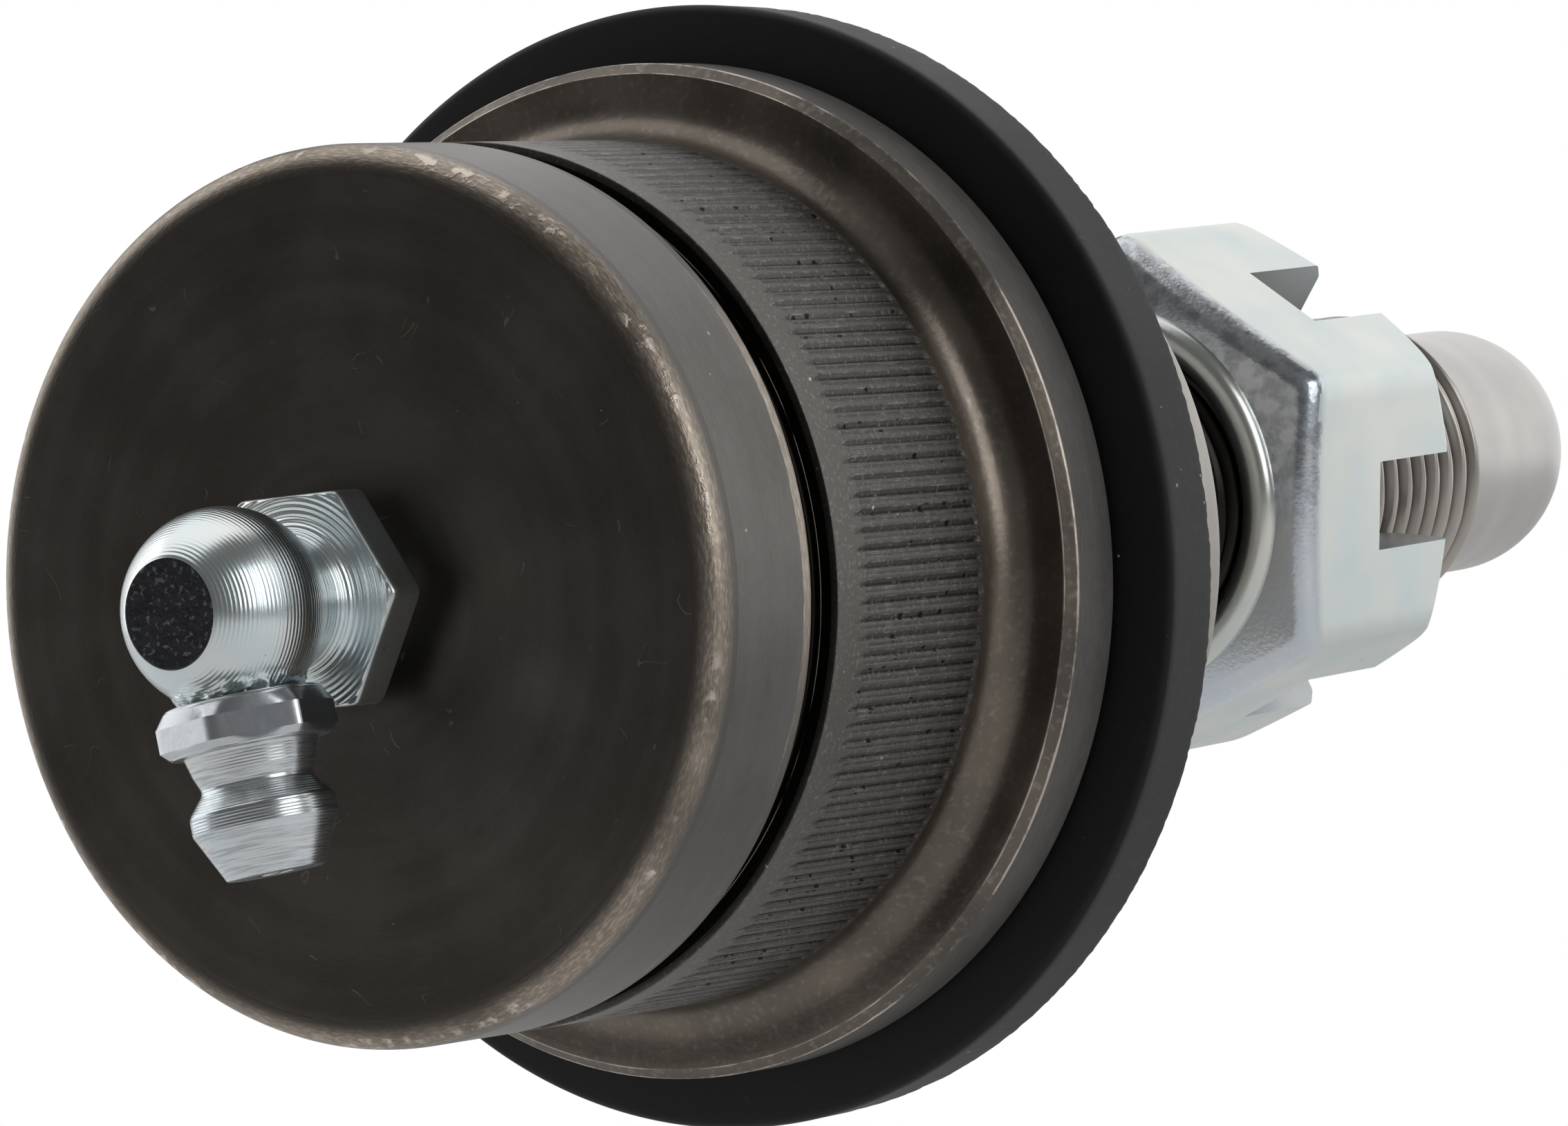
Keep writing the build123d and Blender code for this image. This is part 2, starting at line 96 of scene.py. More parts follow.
# ---- Stud side, in millimetres along the stud axis from the ball's centre ----
STUD_LEAN = 2.15
BALL_R = 13.5
BALL_FLAT_R = 4.0
BALL_FLAT = -12.9
FLAT_MEETS_BALL = -72.8
STUD_NECK_R = 7.5
STUD_NECK_FILLET = 2.0
FILLET_MEETS_BALL = 52.2
FLARE_START = 13.0
FLARE_END = 17.0
COLLAR_R = 9.2
COLLAR_END = 22.6
TAPER_END = 36.6
TAPER_END_R = 8.325
UNDERCUT_R = 6.95
UNDERCUT_START = 37.95
UNDERCUT_END = 38.6
THREAD_START = 39.6
THREAD_R = 7.94
THREAD_END = 66.4
NOSE_START = 67.8
THREAD_PITCH = 1.41
THREAD_DEPTH = 0.86
THREAD_DEEPEST_CUT = 1.3
THREAD_CHAMFER = 1.4
NOSE_R = 6.5
STUD_TIP = 82.1
NUT_SEAT = 40.8
NUT_TOP = 56.4
NUT_FLAT_R = 11.9
NUT_WASHER_R = 10.15
NUT_WASHER_STEP = 0.8
WASHER_FACE_START = 8.65
WASHER_FACE_END = 9.05
NUT_BEVEL = 16.0
NUT_CROWN_R = 11.4
NUT_TURN = 4.0
NUT_SLOT_WIDTH = 4.5
NUT_SLOT_DEPTH = 7.5
NUT_BORE_R = 8.0
TOP_RING_R = 19.0
TOP_RING_BORE_R = 9.25
TOP_RING_RIM_R = 16.4
TOP_RING_START = 19.9
TOP_RING_FLOOR = 20.8
TOP_RING_END = 22.1

# ---- Elbow fitting and nipple ----
ELBOW_Y = -31.5
ELBOW_BALL_R = 4.52
ELBOW_TIP = -35.3
ELBOW_NECK_R = 3.0
HEX_BACK = -24.4
HEX_FRONT = -26.4
HEX_FLAT_R = 4.765
HEX_TURN = 25.0
NIPPLE_SEAT = 3.95
NIPPLE_STEM_R = 1.9
NIPPLE_STEM_START = 1.55
NIPPLE_FLAT_R = 3.5
NIPPLE_HEX_TURN = 33.0
NIPPLE_WAIST_R = 2.45
NIPPLE_HEAD_R = 3.25
NIPPLE_TIP = 11.75
NIPPLE_BORE_R = 1.05
NIPPLE_PASSAGE_R = 0.5
CHECK_SPRING_SEAT = 7.5


def joint(name):
    return next(j for j in frame["joints"] if j["name"] == name)


BALL_CENTRE = Vector(joint("stud_tilt")["pos_m"])
STUD_AXIS = Vector(joint("stud_spin")["axis"])
STUD_PLACE = Matrix.Translation(BALL_CENTRE) @ Vector((0, 1, 0)).rotation_difference(
    STUD_AXIS
).to_matrix().to_4x4()
NIPPLE_AXIS = -Vector(joint("check_ball_lift")["axis"])
NIPPLE_PLACE = Matrix.Translation((0, ELBOW_Y * MM, 0)) @ Vector((0, 1, 0)).rotation_difference(
    NIPPLE_AXIS
).to_matrix().to_4x4()
UPRIGHT = Matrix.Identity(4)

# ---- How finely outlines and turned pieces are divided ----
SMALL_ROUNDING = 0.3
SMALL_ROUNDING_STEPS = 3
LONGEST_FADE = 0.35
COARSE = 320
FINE = KNURL_GROOVES * 10


# ======================================================================
# Outlines and turned meshes
# ======================================================================
def soften(corners, steps=5, fading=True):
    """Outline of (radius, y, edge) points through (radius, y, rounding) corners.

    Edge is 1 on the rounding and fades out beside it, so that a finish can wear there; zinc finishes paint a
    highlight there.
    """
    points = []
    last = len(corners) - 1
    for i, (r, y, rounding) in enumerate(corners):
        here = Vector((r, y))
        if rounding == 0 or i in (0, last):
            points.append((r, y, 0.0))
            continue
        back = Vector(corners[i - 1][:2]) - here
        ahead = Vector(corners[i + 1][:2]) - here
        half = back.angle(ahead) / 2
        reach = min(rounding / math.tan(half), back.length * 0.95, ahead.length * 0.95)
        radius = reach * math.tan(half)
        start = here + back.normalized() * reach
        end = here + ahead.normalized() * reach
        centre = here + (back.normalized() + ahead.normalized()).normalized() * radius / math.sin(half)
        first = start - centre
        sweep = first.angle_signed(end - centre)
        fade = min(LONGEST_FADE, (back.length - reach) * 0.25)
        if fading and fade > 0.05:
            beside = start + back.normalized() * fade
            points.append((beside.x, beside.y, 0.0))
        count = steps if rounding > SMALL_ROUNDING else min(steps, SMALL_ROUNDING_STEPS)
        for k in range(count + 1):
            turned = Matrix.Rotation(-sweep * k / count, 2) @ first
            spot = centre + turned
            points.append((spot.x, spot.y, 1.0))
        fade = min(LONGEST_FADE, (ahead.length - reach) * 0.25)
        if fading and fade > 0.05:
            beside = end + ahead.normalized() * fade
            points.append((beside.x, beside.y, 0.0))
    return points


def rows(r, start, end, step):
    """Points up a plain cylinder, one every step."""
    count = max(1, round((end - start) / step))
    return [(r, start + (end - start) * i / count, 0.0) for i in range(count + 1)]


def arc(centre_r, centre_y, radius, start, end, steps):
    """Points round an arc; angles in degrees from the outward radius towards +Y."""
    points = []
    for i in range(steps + 1):
        a = math.radians(start + (end - start) * i / steps)
        points.append((centre_r + radius * math.cos(a), centre_y + radius * math.sin(a), 0.0))
    return points


def add_row(mesh, layers, point, run, count):
    """One ring of vertices; run is the length along the outline up to it, in millimetres."""
    r, y, wear = point
    if r < 1e-6:
        made = [mesh.verts.new((0, y * MM, 0))]
    else:
        made = []
        for i in range(count):
            a = TURN * i / count
            made.append(mesh.verts.new((r * math.sin(a) * MM, y * MM, r * math.cos(a) * MM)))
    for v in made:
        v[layers[0]] = wear
        v[layers[1]] = run
    return made


def stitch(mesh, low, high, zone):
    """Faces between two rows whose counts divide each other."""
    if len(low) > len(high) > 1:
        return stitch_rows(mesh, high, low, zone)
    return stitch_rows(mesh, low, high, zone)


def stitch_rows(mesh, coarse, fine, zone):
    if len(coarse) == 1 and len(fine) == 1:
        return
    if len(fine) == 1:
        coarse, fine = fine, coarse
    if len(coarse) == 1:
        for i in range(len(fine)):
            corners = [coarse[0], fine[i], fine[(i + 1) % len(fine)]]
            add_face(mesh, corners, zone)
        return
    share = len(fine) // len(coarse)
    for i in range(len(coarse)):
        top = [fine[(i * share + k) % len(fine)] for k in range(share + 1)]
        corners = [coarse[i], coarse[(i + 1) % len(coarse)]] + top[::-1]
        add_face(mesh, corners, zone)


def add_face(mesh, corners, zone):
    face = mesh.faces.new(corners)
    face.material_index = zone
    face.smooth = True


def turned(name, runs, zone=None, closed=False, sharp=40):
    """Mesh object turned about +Y from runs of (points, segments); zone picks a finish by (r, y)."""
    mesh = bmesh.new()
    layers = [mesh.verts.layers.float.new(label) for label in ("edge", "run")]
    made = []
    run = 0.0
    for points, count in runs:
        for point in points:
            step = (Vector(made[-1][0][:2]) - Vector(point[:2])).length if made else 1.0
            if step < 1e-5 and len(made[-1][1]) == count:
                continue
            run += step
            made.append((point, add_row(mesh, layers, point, run, count)))
    if closed:
        made.append(made[0])
    for (low, below), (high, above) in zip(made, made[1:]):
        middle = ((low[0] + high[0]) / 2, (low[1] + high[1]) / 2)
        stitch(mesh, below, above, zone(*middle) if zone else 0)
    bmesh.ops.remove_doubles(mesh, verts=mesh.verts, dist=1e-8)
    bmesh.ops.recalc_face_normals(mesh, faces=mesh.faces)
    return to_object(name, mesh, sharp)


def to_object(name, mesh, sharp=40):
    data = bpy.data.meshes.new(name)
    mesh.to_mesh(data)
    mesh.free()
    data.set_sharp_from_angle(angle=math.radians(sharp))
    piece = bpy.data.objects.new(name, data)
    bpy.context.scene.collection.objects.link(piece)
    return piece


def hex_reach(angle, flat_r, corner):
    """Distance from the axis to a hexagon's side, in the direction of angle (degrees)."""
    off = (angle - corner - 30) % 60
    off = min(off, 60 - off)
    return flat_r / math.cos(math.radians(off))


def soft_min(a, b, blend):
    """The smaller of two lengths, rounded over where they meet."""
    k = max(blend - abs(a - b), 0) / blend if blend > 0 else 0
    return min(a, b) - k * k * blend / 4


def squeeze_to_hex(piece, start, end, core, corner_r, flat_r, corner, rounding):
    """Presses the turned stretch from start to end into a hexagon, outside a round core."""
    run = piece.data.attributes["run"].data
    for v in piece.data.vertices:
        y = v.co.y / MM
        r = math.hypot(v.co.x, v.co.z) / MM
        if not start - 1e-4 < y < end + 1e-4 or r <= core:
            continue
        angle = math.degrees(math.atan2(v.co.x, v.co.z))
        side = soft_min(hex_reach(angle, flat_r, corner), corner_r - rounding * 0.15, rounding)
        new = core + (r - core) * (side - core) / (corner_r - core)
        run[v.index].value += new - r
        v.co.x *= new / r
        v.co.z *= new / r


# ======================================================================
# Node trees
# ======================================================================
def add(tree, kind, inputs=(), **settings):
    """Adds a node; inputs pairs a socket's name or number with a value or an output."""
    made = tree.nodes.new(kind)
    for key, value in settings.items():
        setattr(made, key, value)
    for key, value in dict(inputs).items():
        if isinstance(key, str):
            socket = next(s for s in made.inputs if s.name == key and s.enabled)
        else:
            socket = made.inputs[key]
        if isinstance(value, bpy.types.NodeSocket):
            tree.links.new(value, socket)
        else:
            socket.default_value = value
    return made


def calc(tree, operation, *values):
    """Output of a Math node."""
    made = add(tree, "ShaderNodeMath", dict(enumerate(values)), operation=operation)
    return made.outputs[0]


def spread(tree, value, low, high, to_low=0.0, to_high=1.0):
    """Output of a clamped, smooth Map Range node."""
    made = add(
        tree,
        "ShaderNodeMapRange",
        {"Value": value, "From Min": low, "From Max": high, "To Min": to_low, "To Max": to_high},
        interpolation_type="SMOOTHSTEP",
    )
    return made.outputs["Result"]


def mix(tree, share, a, b):
    """Colour output of a Mix node."""
    made = add(tree, "ShaderNodeMix", {0: share}, data_type="RGBA")
    for socket, value in ((made.inputs[6], a), (made.inputs[7], b)):
        if isinstance(value, bpy.types.NodeSocket):
            tree.links.new(value, socket)
        else:
            socket.default_value = value
    return made.outputs[2]


def grey(value, warm=0.0):
    return (value * (1 + warm), value, value * (1 - warm), 1)


# ---- Geometry trees ----
def geometry_tree(name, sizes):
    tree = bpy.data.node_groups.new(name, "GeometryNodeTree")
    tree.interface.new_socket("Geometry", in_out="INPUT", socket_type="NodeSocketGeometry")
    for size, value in sizes.items():
        socket = tree.interface.new_socket(size, in_out="INPUT", socket_type="NodeSocketFloat")
        socket.default_value = value
    tree.interface.new_socket("Geometry", in_out="OUTPUT", socket_type="NodeSocketGeometry")
    return tree, add(tree, "NodeGroupInput"), add(tree, "NodeGroupOutput")


def close_tree(tree, geometry, selection, finish, end):
    """Ends a tree with Realize Instances and Set Material."""
    real = add(tree, "GeometryNodeRealizeInstances", {"Geometry": geometry})
    final = add(
        tree,
        "GeometryNodeSetMaterial",
        {"Geometry": real.outputs[0], "Selection": selection, "Material": finish},
    )
    tree.links.new(final.outputs[0], end.inputs[0])


def apply_tree(piece, tree):
    """Runs a geometry tree on a piece, with its inputs' own values, and keeps the result as a plain mesh."""
    modifier = piece.modifiers.new(tree.name, "NODES")
    modifier.node_group = tree
    view = bpy.context.evaluated_depsgraph_get()
    data = bpy.data.meshes.new_from_object(
        piece.evaluated_get(view), preserve_all_data_layers=True, depsgraph=view
    )
    piece.modifiers.clear()
    piece.data = data


def around(tree):
    """x, y, z in millimetres, radius and angle in turns for each point of a turned mesh."""
    position = add(tree, "GeometryNodeInputPosition").outputs[0]
    spot = add(tree, "ShaderNodeVectorMath", {0: position}, operation="SCALE")
    spot.inputs["Scale"].default_value = 1 / MM
    parts = add(tree, "ShaderNodeSeparateXYZ", {0: spot.outputs[0]})
    x, y, z = parts.outputs
    radius = calc(tree, "SQRT", calc(tree, "ADD", calc(tree, "MULTIPLY", x, x), calc(tree, "MULTIPLY", z, z)))
    angle = calc(tree, "DIVIDE", calc(tree, "ARCTAN2", x, z), TURN)
    return x, y, z, radius, angle


def sink(tree, geometry, selection, x, z, radius, depth):
    """Moves points towards the axis by depth millimetres."""
    share = calc(tree, "MULTIPLY", calc(tree, "DIVIDE", depth, radius), -MM)
    offset = add(
        tree,
        "ShaderNodeCombineXYZ",
        {0: calc(tree, "MULTIPLY", x, share), 2: calc(tree, "MULTIPLY", z, share)},
    )
    moved = add(
        tree,
        "GeometryNodeSetPosition",
        {"Geometry": geometry, "Selection": selection, "Offset": offset.outputs[0]},
    )
    kept = add(
        tree,
        "GeometryNodeStoreNamedAttribute",
        {"Geometry": moved.outputs[0], "Selection": selection, "Name": "cut", "Value": depth},
        data_type="FLOAT",
        domain="POINT",
    )
    return kept.outputs[0]


def between(tree, value, low, high):
    above = calc(tree, "GREATER_THAN", value, low)
    below = calc(tree, "LESS_THAN", value, high)
    return calc(tree, "MULTIPLY", above, below)


def knurl_tree(finish):
    """Presses leaning V grooves with pointed starts into a cylinder, each with a fine line beside it."""
    tree, given, end = geometry_tree(
        "knurl",
        {
            "Grooves": KNURL_GROOVES,
            "Land radius": BODY_R,
            "Start": KNURL_START,
            "End": KNURL_END,
            "Depth": KNURL_DEPTH,
            "Near width": KNURL_NEAR_WIDTH,
            "Far width": KNURL_FAR_WIDTH,
            "Second line": KNURL_SECOND_LINE,
            "Tip length": KNURL_TIP,
            "Run-out": 0.35,
            "Unevenness": 0.16,
        },
    )
    size = given.outputs
    x, y, z, radius, angle = around(tree)
    place = calc(tree, "MULTIPLY", angle, size["Grooves"])
    number = calc(tree, "ROUND", place)
    pitch = calc(tree, "DIVIDE", calc(tree, "MULTIPLY", size["Land radius"], TURN), size["Grooves"])
    number_once = calc(tree, "FLOORED_MODULO", number, size["Grooves"])
    across = calc(tree, "MULTIPLY", calc(tree, "SUBTRACT", place, number), pitch)
    shift = add(tree, "FunctionNodeRandomValue", {2: -1.0, 3: 1.0, 7: number_once, 8: 4}, data_type="FLOAT")
    start = calc(tree, "MULTIPLY_ADD", shift.outputs[1], size["Unevenness"], size["Start"])
    rise = calc(tree, "DIVIDE", calc(tree, "SUBTRACT", y, start), size["Tip length"])
    rise = calc(tree, "MINIMUM", calc(tree, "MAXIMUM", rise, 0.0), 1.0)
    to_end = calc(tree, "DIVIDE", calc(tree, "SUBTRACT", size["End"], y), size["Run-out"])
    fall = spread(tree, to_end, 0.0, 1.0)
    press = add(tree, "FunctionNodeRandomValue", {2: 0.82, 3: 1.0, 7: number_once, 8: 9}, data_type="FLOAT")
    full = calc(tree, "MULTIPLY", size["Depth"], press.outputs[1])
    depth = calc(tree, "MULTIPLY", full, calc(tree, "MULTIPLY", rise, fall))
    above = calc(tree, "MULTIPLY", across, calc(tree, "DIVIDE", size["Depth"], size["Near width"]))
    below = calc(tree, "MULTIPLY", across, calc(tree, "DIVIDE", size["Depth"], size["Far width"]))
    wall = calc(tree, "MAXIMUM", below, calc(tree, "MULTIPLY", above, -1.0))
    second = calc(tree, "ABSOLUTE", calc(tree, "SUBTRACT", across, size["Second line"]))
    second = calc(tree, "SUBTRACT", calc(tree, "MULTIPLY", depth, 0.55), second)
    later = calc(tree, "GREATER_THAN", rise, 0.85)
    cut = calc(tree, "MAXIMUM", calc(tree, "SUBTRACT", depth, wall), calc(tree, "MULTIPLY", second, later))
    cut = calc(tree, "MAXIMUM", cut, 0.0)
    outside = calc(tree, "GREATER_THAN", radius, calc(tree, "SUBTRACT", size["Land radius"], 0.5))
    band = calc(
        tree,
        "MULTIPLY",
        outside,
        between(tree, y, calc(tree, "SUBTRACT", size["Start"], 1.5), size["End"]),
    )
    shaped = sink(tree, given.outputs[0], band, x, z, radius, cut)
    close_tree(tree, shaped, band, finish, end)
    return tree


def thread_tree(finish):
    """Cuts a 60 degree right-hand thread into a cylinder."""
    tree, given, end = geometry_tree(
        "thread",
        {
            "Pitch": THREAD_PITCH,
            "Depth": THREAD_DEPTH,
            "Start": THREAD_START,
            "End": NOSE_START,
            "Run-out": 1.2,
            "Core radius": 6.0,
        },
    )
    size = given.outputs
    x, y, z, radius, angle = around(tree)
    turns = calc(tree, "SUBTRACT", calc(tree, "DIVIDE", y, size["Pitch"]), angle)
    off_middle = calc(tree, "SUBTRACT", calc(tree, "FRACT", turns), 0.5)
    place = calc(tree, "MULTIPLY", calc(tree, "ABSOLUTE", off_middle), 2.0)
    flank = add(
        tree,
        "ShaderNodeMapRange",
        {"Value": place, "From Min": 0.16, "From Max": 0.8, "To Min": 0.0, "To Max": 1.0},
        interpolation_type="LINEAR",
    )
    rise = calc(tree, "DIVIDE", calc(tree, "SUBTRACT", y, size["Start"]), size["Run-out"])
    rise = calc(tree, "MINIMUM", calc(tree, "MAXIMUM", rise, 0.0), 1.0)
    cut = calc(tree, "MULTIPLY", calc(tree, "MULTIPLY", flank.outputs[0], size["Depth"]), rise)
    room = calc(tree, "MAXIMUM", calc(tree, "SUBTRACT", radius, THREAD_R - THREAD_DEEPEST_CUT), 0.0)
    cut = calc(tree, "MINIMUM", cut, room)
    outside = calc(tree, "GREATER_THAN", radius, size["Core radius"])
    band = calc(tree, "MULTIPLY", outside, between(tree, y, size["Start"], size["End"]))
    shaped = sink(tree, given.outputs[0], band, x, z, radius, cut)
    close_tree(tree, shaped, band, finish, end)
    return tree


# ---- Shader groups ----
def shader_group(name, inputs, outputs):
    tree = bpy.data.node_groups.new(name, "ShaderNodeTree")
    for label, value in inputs.items():
        vector = value is None
        kind = "NodeSocketVector" if vector else "NodeSocketFloat"
        socket = tree.interface.new_socket(label, in_out="INPUT", socket_type=kind)
        if not vector:
            socket.default_value = value
    for label in outputs:
        tree.interface.new_socket(label, in_out="OUTPUT", socket_type="NodeSocketFloat")
    return tree, add(tree, "NodeGroupInput").outputs, add(tree, "NodeGroupOutput").inputs


def turning_group():
    """Fine rings left by a lathe tool; Along is the length along the turned outline."""
    tree, given, out = shader_group(
        "turning marks", {"Vector": None, "Along": 0.0, "Spacing": 0.15, "Wander": 0.3},
        ["Height", "Band", "Feed"],
    )
    soft = add(tree, "ShaderNodeTexNoise", {"Vector": given["Vector"], "Scale": 90.0, "Detail": 2.0})
    wander = calc(tree, "MULTIPLY", soft.outputs[0], given["Wander"])
    place = calc(tree, "DIVIDE", calc(tree, "ADD", given["Along"], wander), given["Spacing"])
    fine = add(
        tree, "ShaderNodeTexNoise", {"W": place, "Scale": 1.0, "Detail": 3.0, "Roughness": 0.6},
        noise_dimensions="1D",
    )
    wide = add(
        tree, "ShaderNodeTexNoise", {"W": calc(tree, "MULTIPLY", place, 0.13), "Scale": 1.0, "Detail": 1.0},
        noise_dimensions="1D",
    )
    wave = calc(tree, "SINE", calc(tree, "MULTIPLY", place, TURN))
    uneven = calc(tree, "MULTIPLY_ADD", fine.outputs[0], 0.8, 0.1)
    tree.links.new(fine.outputs[0], out["Height"])
    tree.links.new(wide.outputs[0], out["Band"])
    tree.links.new(calc(tree, "MULTIPLY", wave, uneven), out["Feed"])
    return tree


def speck_group():
    """Small separate dots, such as dust, pits or plating nodules."""
    tree, given, out = shader_group(
        "specks", {"Vector": None, "Scale": 900.0, "Size": 0.2, "Share": 0.3}, ["Mask"]
    )
    ragged = add(
        tree, "ShaderNodeTexNoise",
        {"Vector": given["Vector"], "Scale": calc(tree, "MULTIPLY", given["Scale"], 6.0), "Detail": 1.0},
    )
    shift = add(tree, "ShaderNodeVectorMath", {0: ragged.outputs[1]}, operation="SCALE")
    shift.inputs["Scale"].default_value = 0.12 * MM
    where = add(tree, "ShaderNodeVectorMath", {0: given["Vector"], 1: shift.outputs[0]}, operation="ADD")
    cell = add(tree, "ShaderNodeTexVoronoi", {"Vector": where.outputs[0], "Scale": given["Scale"]})
    picked = add(tree, "ShaderNodeSeparateColor", {0: cell.outputs["Color"]})
    wanted = calc(tree, "LESS_THAN", picked.outputs[0], given["Share"])
    size = calc(tree, "MULTIPLY", given["Size"], picked.outputs[1])
    dot = calc(tree, "LESS_THAN", cell.outputs["Distance"], size)
    tree.links.new(calc(tree, "MULTIPLY", wanted, dot), out["Mask"])
    return tree


def scratch_group():
    """Hair-thin curved scratches in scattered patches."""
    tree, given, out = shader_group(
        "scratches", {"Vector": None, "Scale": 120.0, "Width": 0.006, "Share": 0.5}, ["Mask"]
    )
    field = add(
        tree, "ShaderNodeTexNoise",
        {"Vector": given["Vector"], "Scale": given["Scale"], "Detail": 1.0, "Distortion": 1.2},
    )
    gap = calc(tree, "ABSOLUTE", calc(tree, "SUBTRACT", field.outputs[0], 0.5))
    line = calc(tree, "LESS_THAN", gap, given["Width"])
    patch = add(
        tree, "ShaderNodeTexNoise",
        {"Vector": given["Vector"], "Scale": calc(tree, "MULTIPLY", given["Scale"], 2.3), "Detail": 2.0},
    )
    here = calc(tree, "GREATER_THAN", patch.outputs[0], calc(tree, "SUBTRACT", 1.0, given["Share"]))
    tree.links.new(calc(tree, "MULTIPLY", line, here), out["Mask"])
    return tree


def wear_group():
    """Wear on rounded edges, broken up by a coarse and a fine noise."""
    tree, given, out = shader_group(
        "edge wear", {"Vector": None, "Edge": 0.0, "Scale": 400.0, "Reach": 0.5}, ["Mask"]
    )
    rough = add(
        tree, "ShaderNodeTexNoise",
        {"Vector": given["Vector"], "Scale": given["Scale"], "Detail": 5.0, "Roughness": 0.7},
    )
    coarse = add(
        tree, "ShaderNodeTexNoise",
        {"Vector": given["Vector"], "Scale": calc(tree, "MULTIPLY", given["Scale"], 0.12), "Detail": 2.0},
    )
    patches = spread(tree, coarse.outputs[0], 0.35, 0.6, 0.75, 1.05)
    worn = calc(tree, "MULTIPLY_ADD", given["Edge"], patches, calc(tree, "SUBTRACT", rough.outputs[0], 1.0))
    low = calc(tree, "SUBTRACT", 0.75, given["Reach"])
    mask = spread(tree, worn, low, calc(tree, "ADD", low, 0.3))
    tree.links.new(mask, out["Mask"])
    return tree


def brushed_group():
    """Fine broken lines running round the axis; Round is how many a radian holds, Fine how many a mm."""
    tree, given, out = shader_group(
        "brushed lines", {"Vector": None, "Along": 0.0, "Round": 8.0, "Fine": 9.0}, ["Value"]
    )
    flat = add(tree, "ShaderNodeVectorMath", {0: given["Vector"], 1: (1, 0, 1)}, operation="MULTIPLY")
    outward = add(tree, "ShaderNodeVectorMath", {0: flat.outputs[0]}, operation="NORMALIZE")
    round_axis = add(tree, "ShaderNodeVectorMath", {0: outward.outputs[0]}, operation="SCALE")
    tree.links.new(given["Round"], round_axis.inputs["Scale"])
    line = add(tree, "ShaderNodeCombineXYZ", {1: calc(tree, "MULTIPLY", given["Along"], given["Fine"])})
    where = add(tree, "ShaderNodeVectorMath", {0: round_axis.outputs[0], 1: line.outputs[0]}, operation="ADD")
    broken = add(tree, "ShaderNodeTexNoise", {"Vector": where.outputs[0], "Scale": 1.0, "Detail": 3.0})
    tree.links.new(broken.outputs[0], out["Value"])
    return tree


TURNING = turning_group()
BRUSHED = brushed_group()
SPECKS = speck_group()
SCRATCHES = scratch_group()
WEAR = wear_group()


def use(tree, group, **inputs):
    """Places a shader group with its own values."""
    made = tree.nodes.new("ShaderNodeGroup")
    made.node_tree = group
    for key, value in inputs.items():
        if isinstance(value, bpy.types.NodeSocket):
            tree.links.new(value, made.inputs[key])
        else:
            made.inputs[key].default_value = value
    return made


# ======================================================================
# Finishes
# ======================================================================
def mark(tree, name):
    """A value that the mesh carries, such as edge, run or cut."""
    return add(tree, "ShaderNodeAttribute", attribute_name=name).outputs["Fac"]


def place_along(tree, where, axis):
    """One coordinate of a vector; axis is 0, 1 or 2."""
    return add(tree, "ShaderNodeSeparateXYZ", {0: where}).outputs[axis]


def new_finish(name, place=UPRIGHT, **constants):
    """Material with a Principled shader; returns it, its tree, shader and coordinates about its axis."""
    made = bpy.data.materials.new(name)
    made.use_nodes = True
    tree = made.node_tree
    tree.nodes.clear()
    shader = add(tree, "ShaderNodeBsdfPrincipled", constants)
    add(tree, "ShaderNodeOutputMaterial", {"Surface": shader.outputs[0]})
    made.diffuse_color = (0.5, 0.5, 0.5, 1)
    object_space = add(tree, "ShaderNodeTexCoord").outputs["Object"]
    if place is UPRIGHT:
        return made, tree, shader, object_space
    back = place.inverted()
    mapping = add(
        tree,
        "ShaderNodeMapping",
        {
            "Vector": object_space,
            "Location": back.to_translation(),
            "Rotation": back.to_euler(),
        },
    )
    return made, tree, shader, mapping.outputs[0]


def tool_rings(tree, where, spacing):
    """Turning marks along the piece's own outline."""
    along = mark(tree, "run")
    return use(tree, TURNING, Vector=where, Along=along, Spacing=spacing, Wander=0.05)


def brushed(tree, where, round_axis=30.0, fine=9.0):
    """Broken lines round the axis, from 0 to 1."""
    along = mark(tree, "run")
    lines = use(tree, BRUSHED, Vector=where, Along=along, Round=round_axis, Fine=fine)
    return spread(tree, lines.outputs[0], 0.4, 0.68)


def bump(tree, shader, height, distance, before=None):
    """Bump of a distance in metres for a full change of height."""
    inputs = {"Height": height, "Distance": distance, "Strength": 1.0}
    if before is not None:
        inputs["Normal"] = before
    made = add(tree, "ShaderNodeBump", inputs)
    tree.links.new(made.outputs[0], shader.inputs["Normal"])
    return made.outputs[0]


def patchy(tree, where, scale, detail=4.0):
    made = add(tree, "ShaderNodeTexNoise", {"Vector": where, "Scale": scale, "Detail": detail})
    return made.outputs[0]


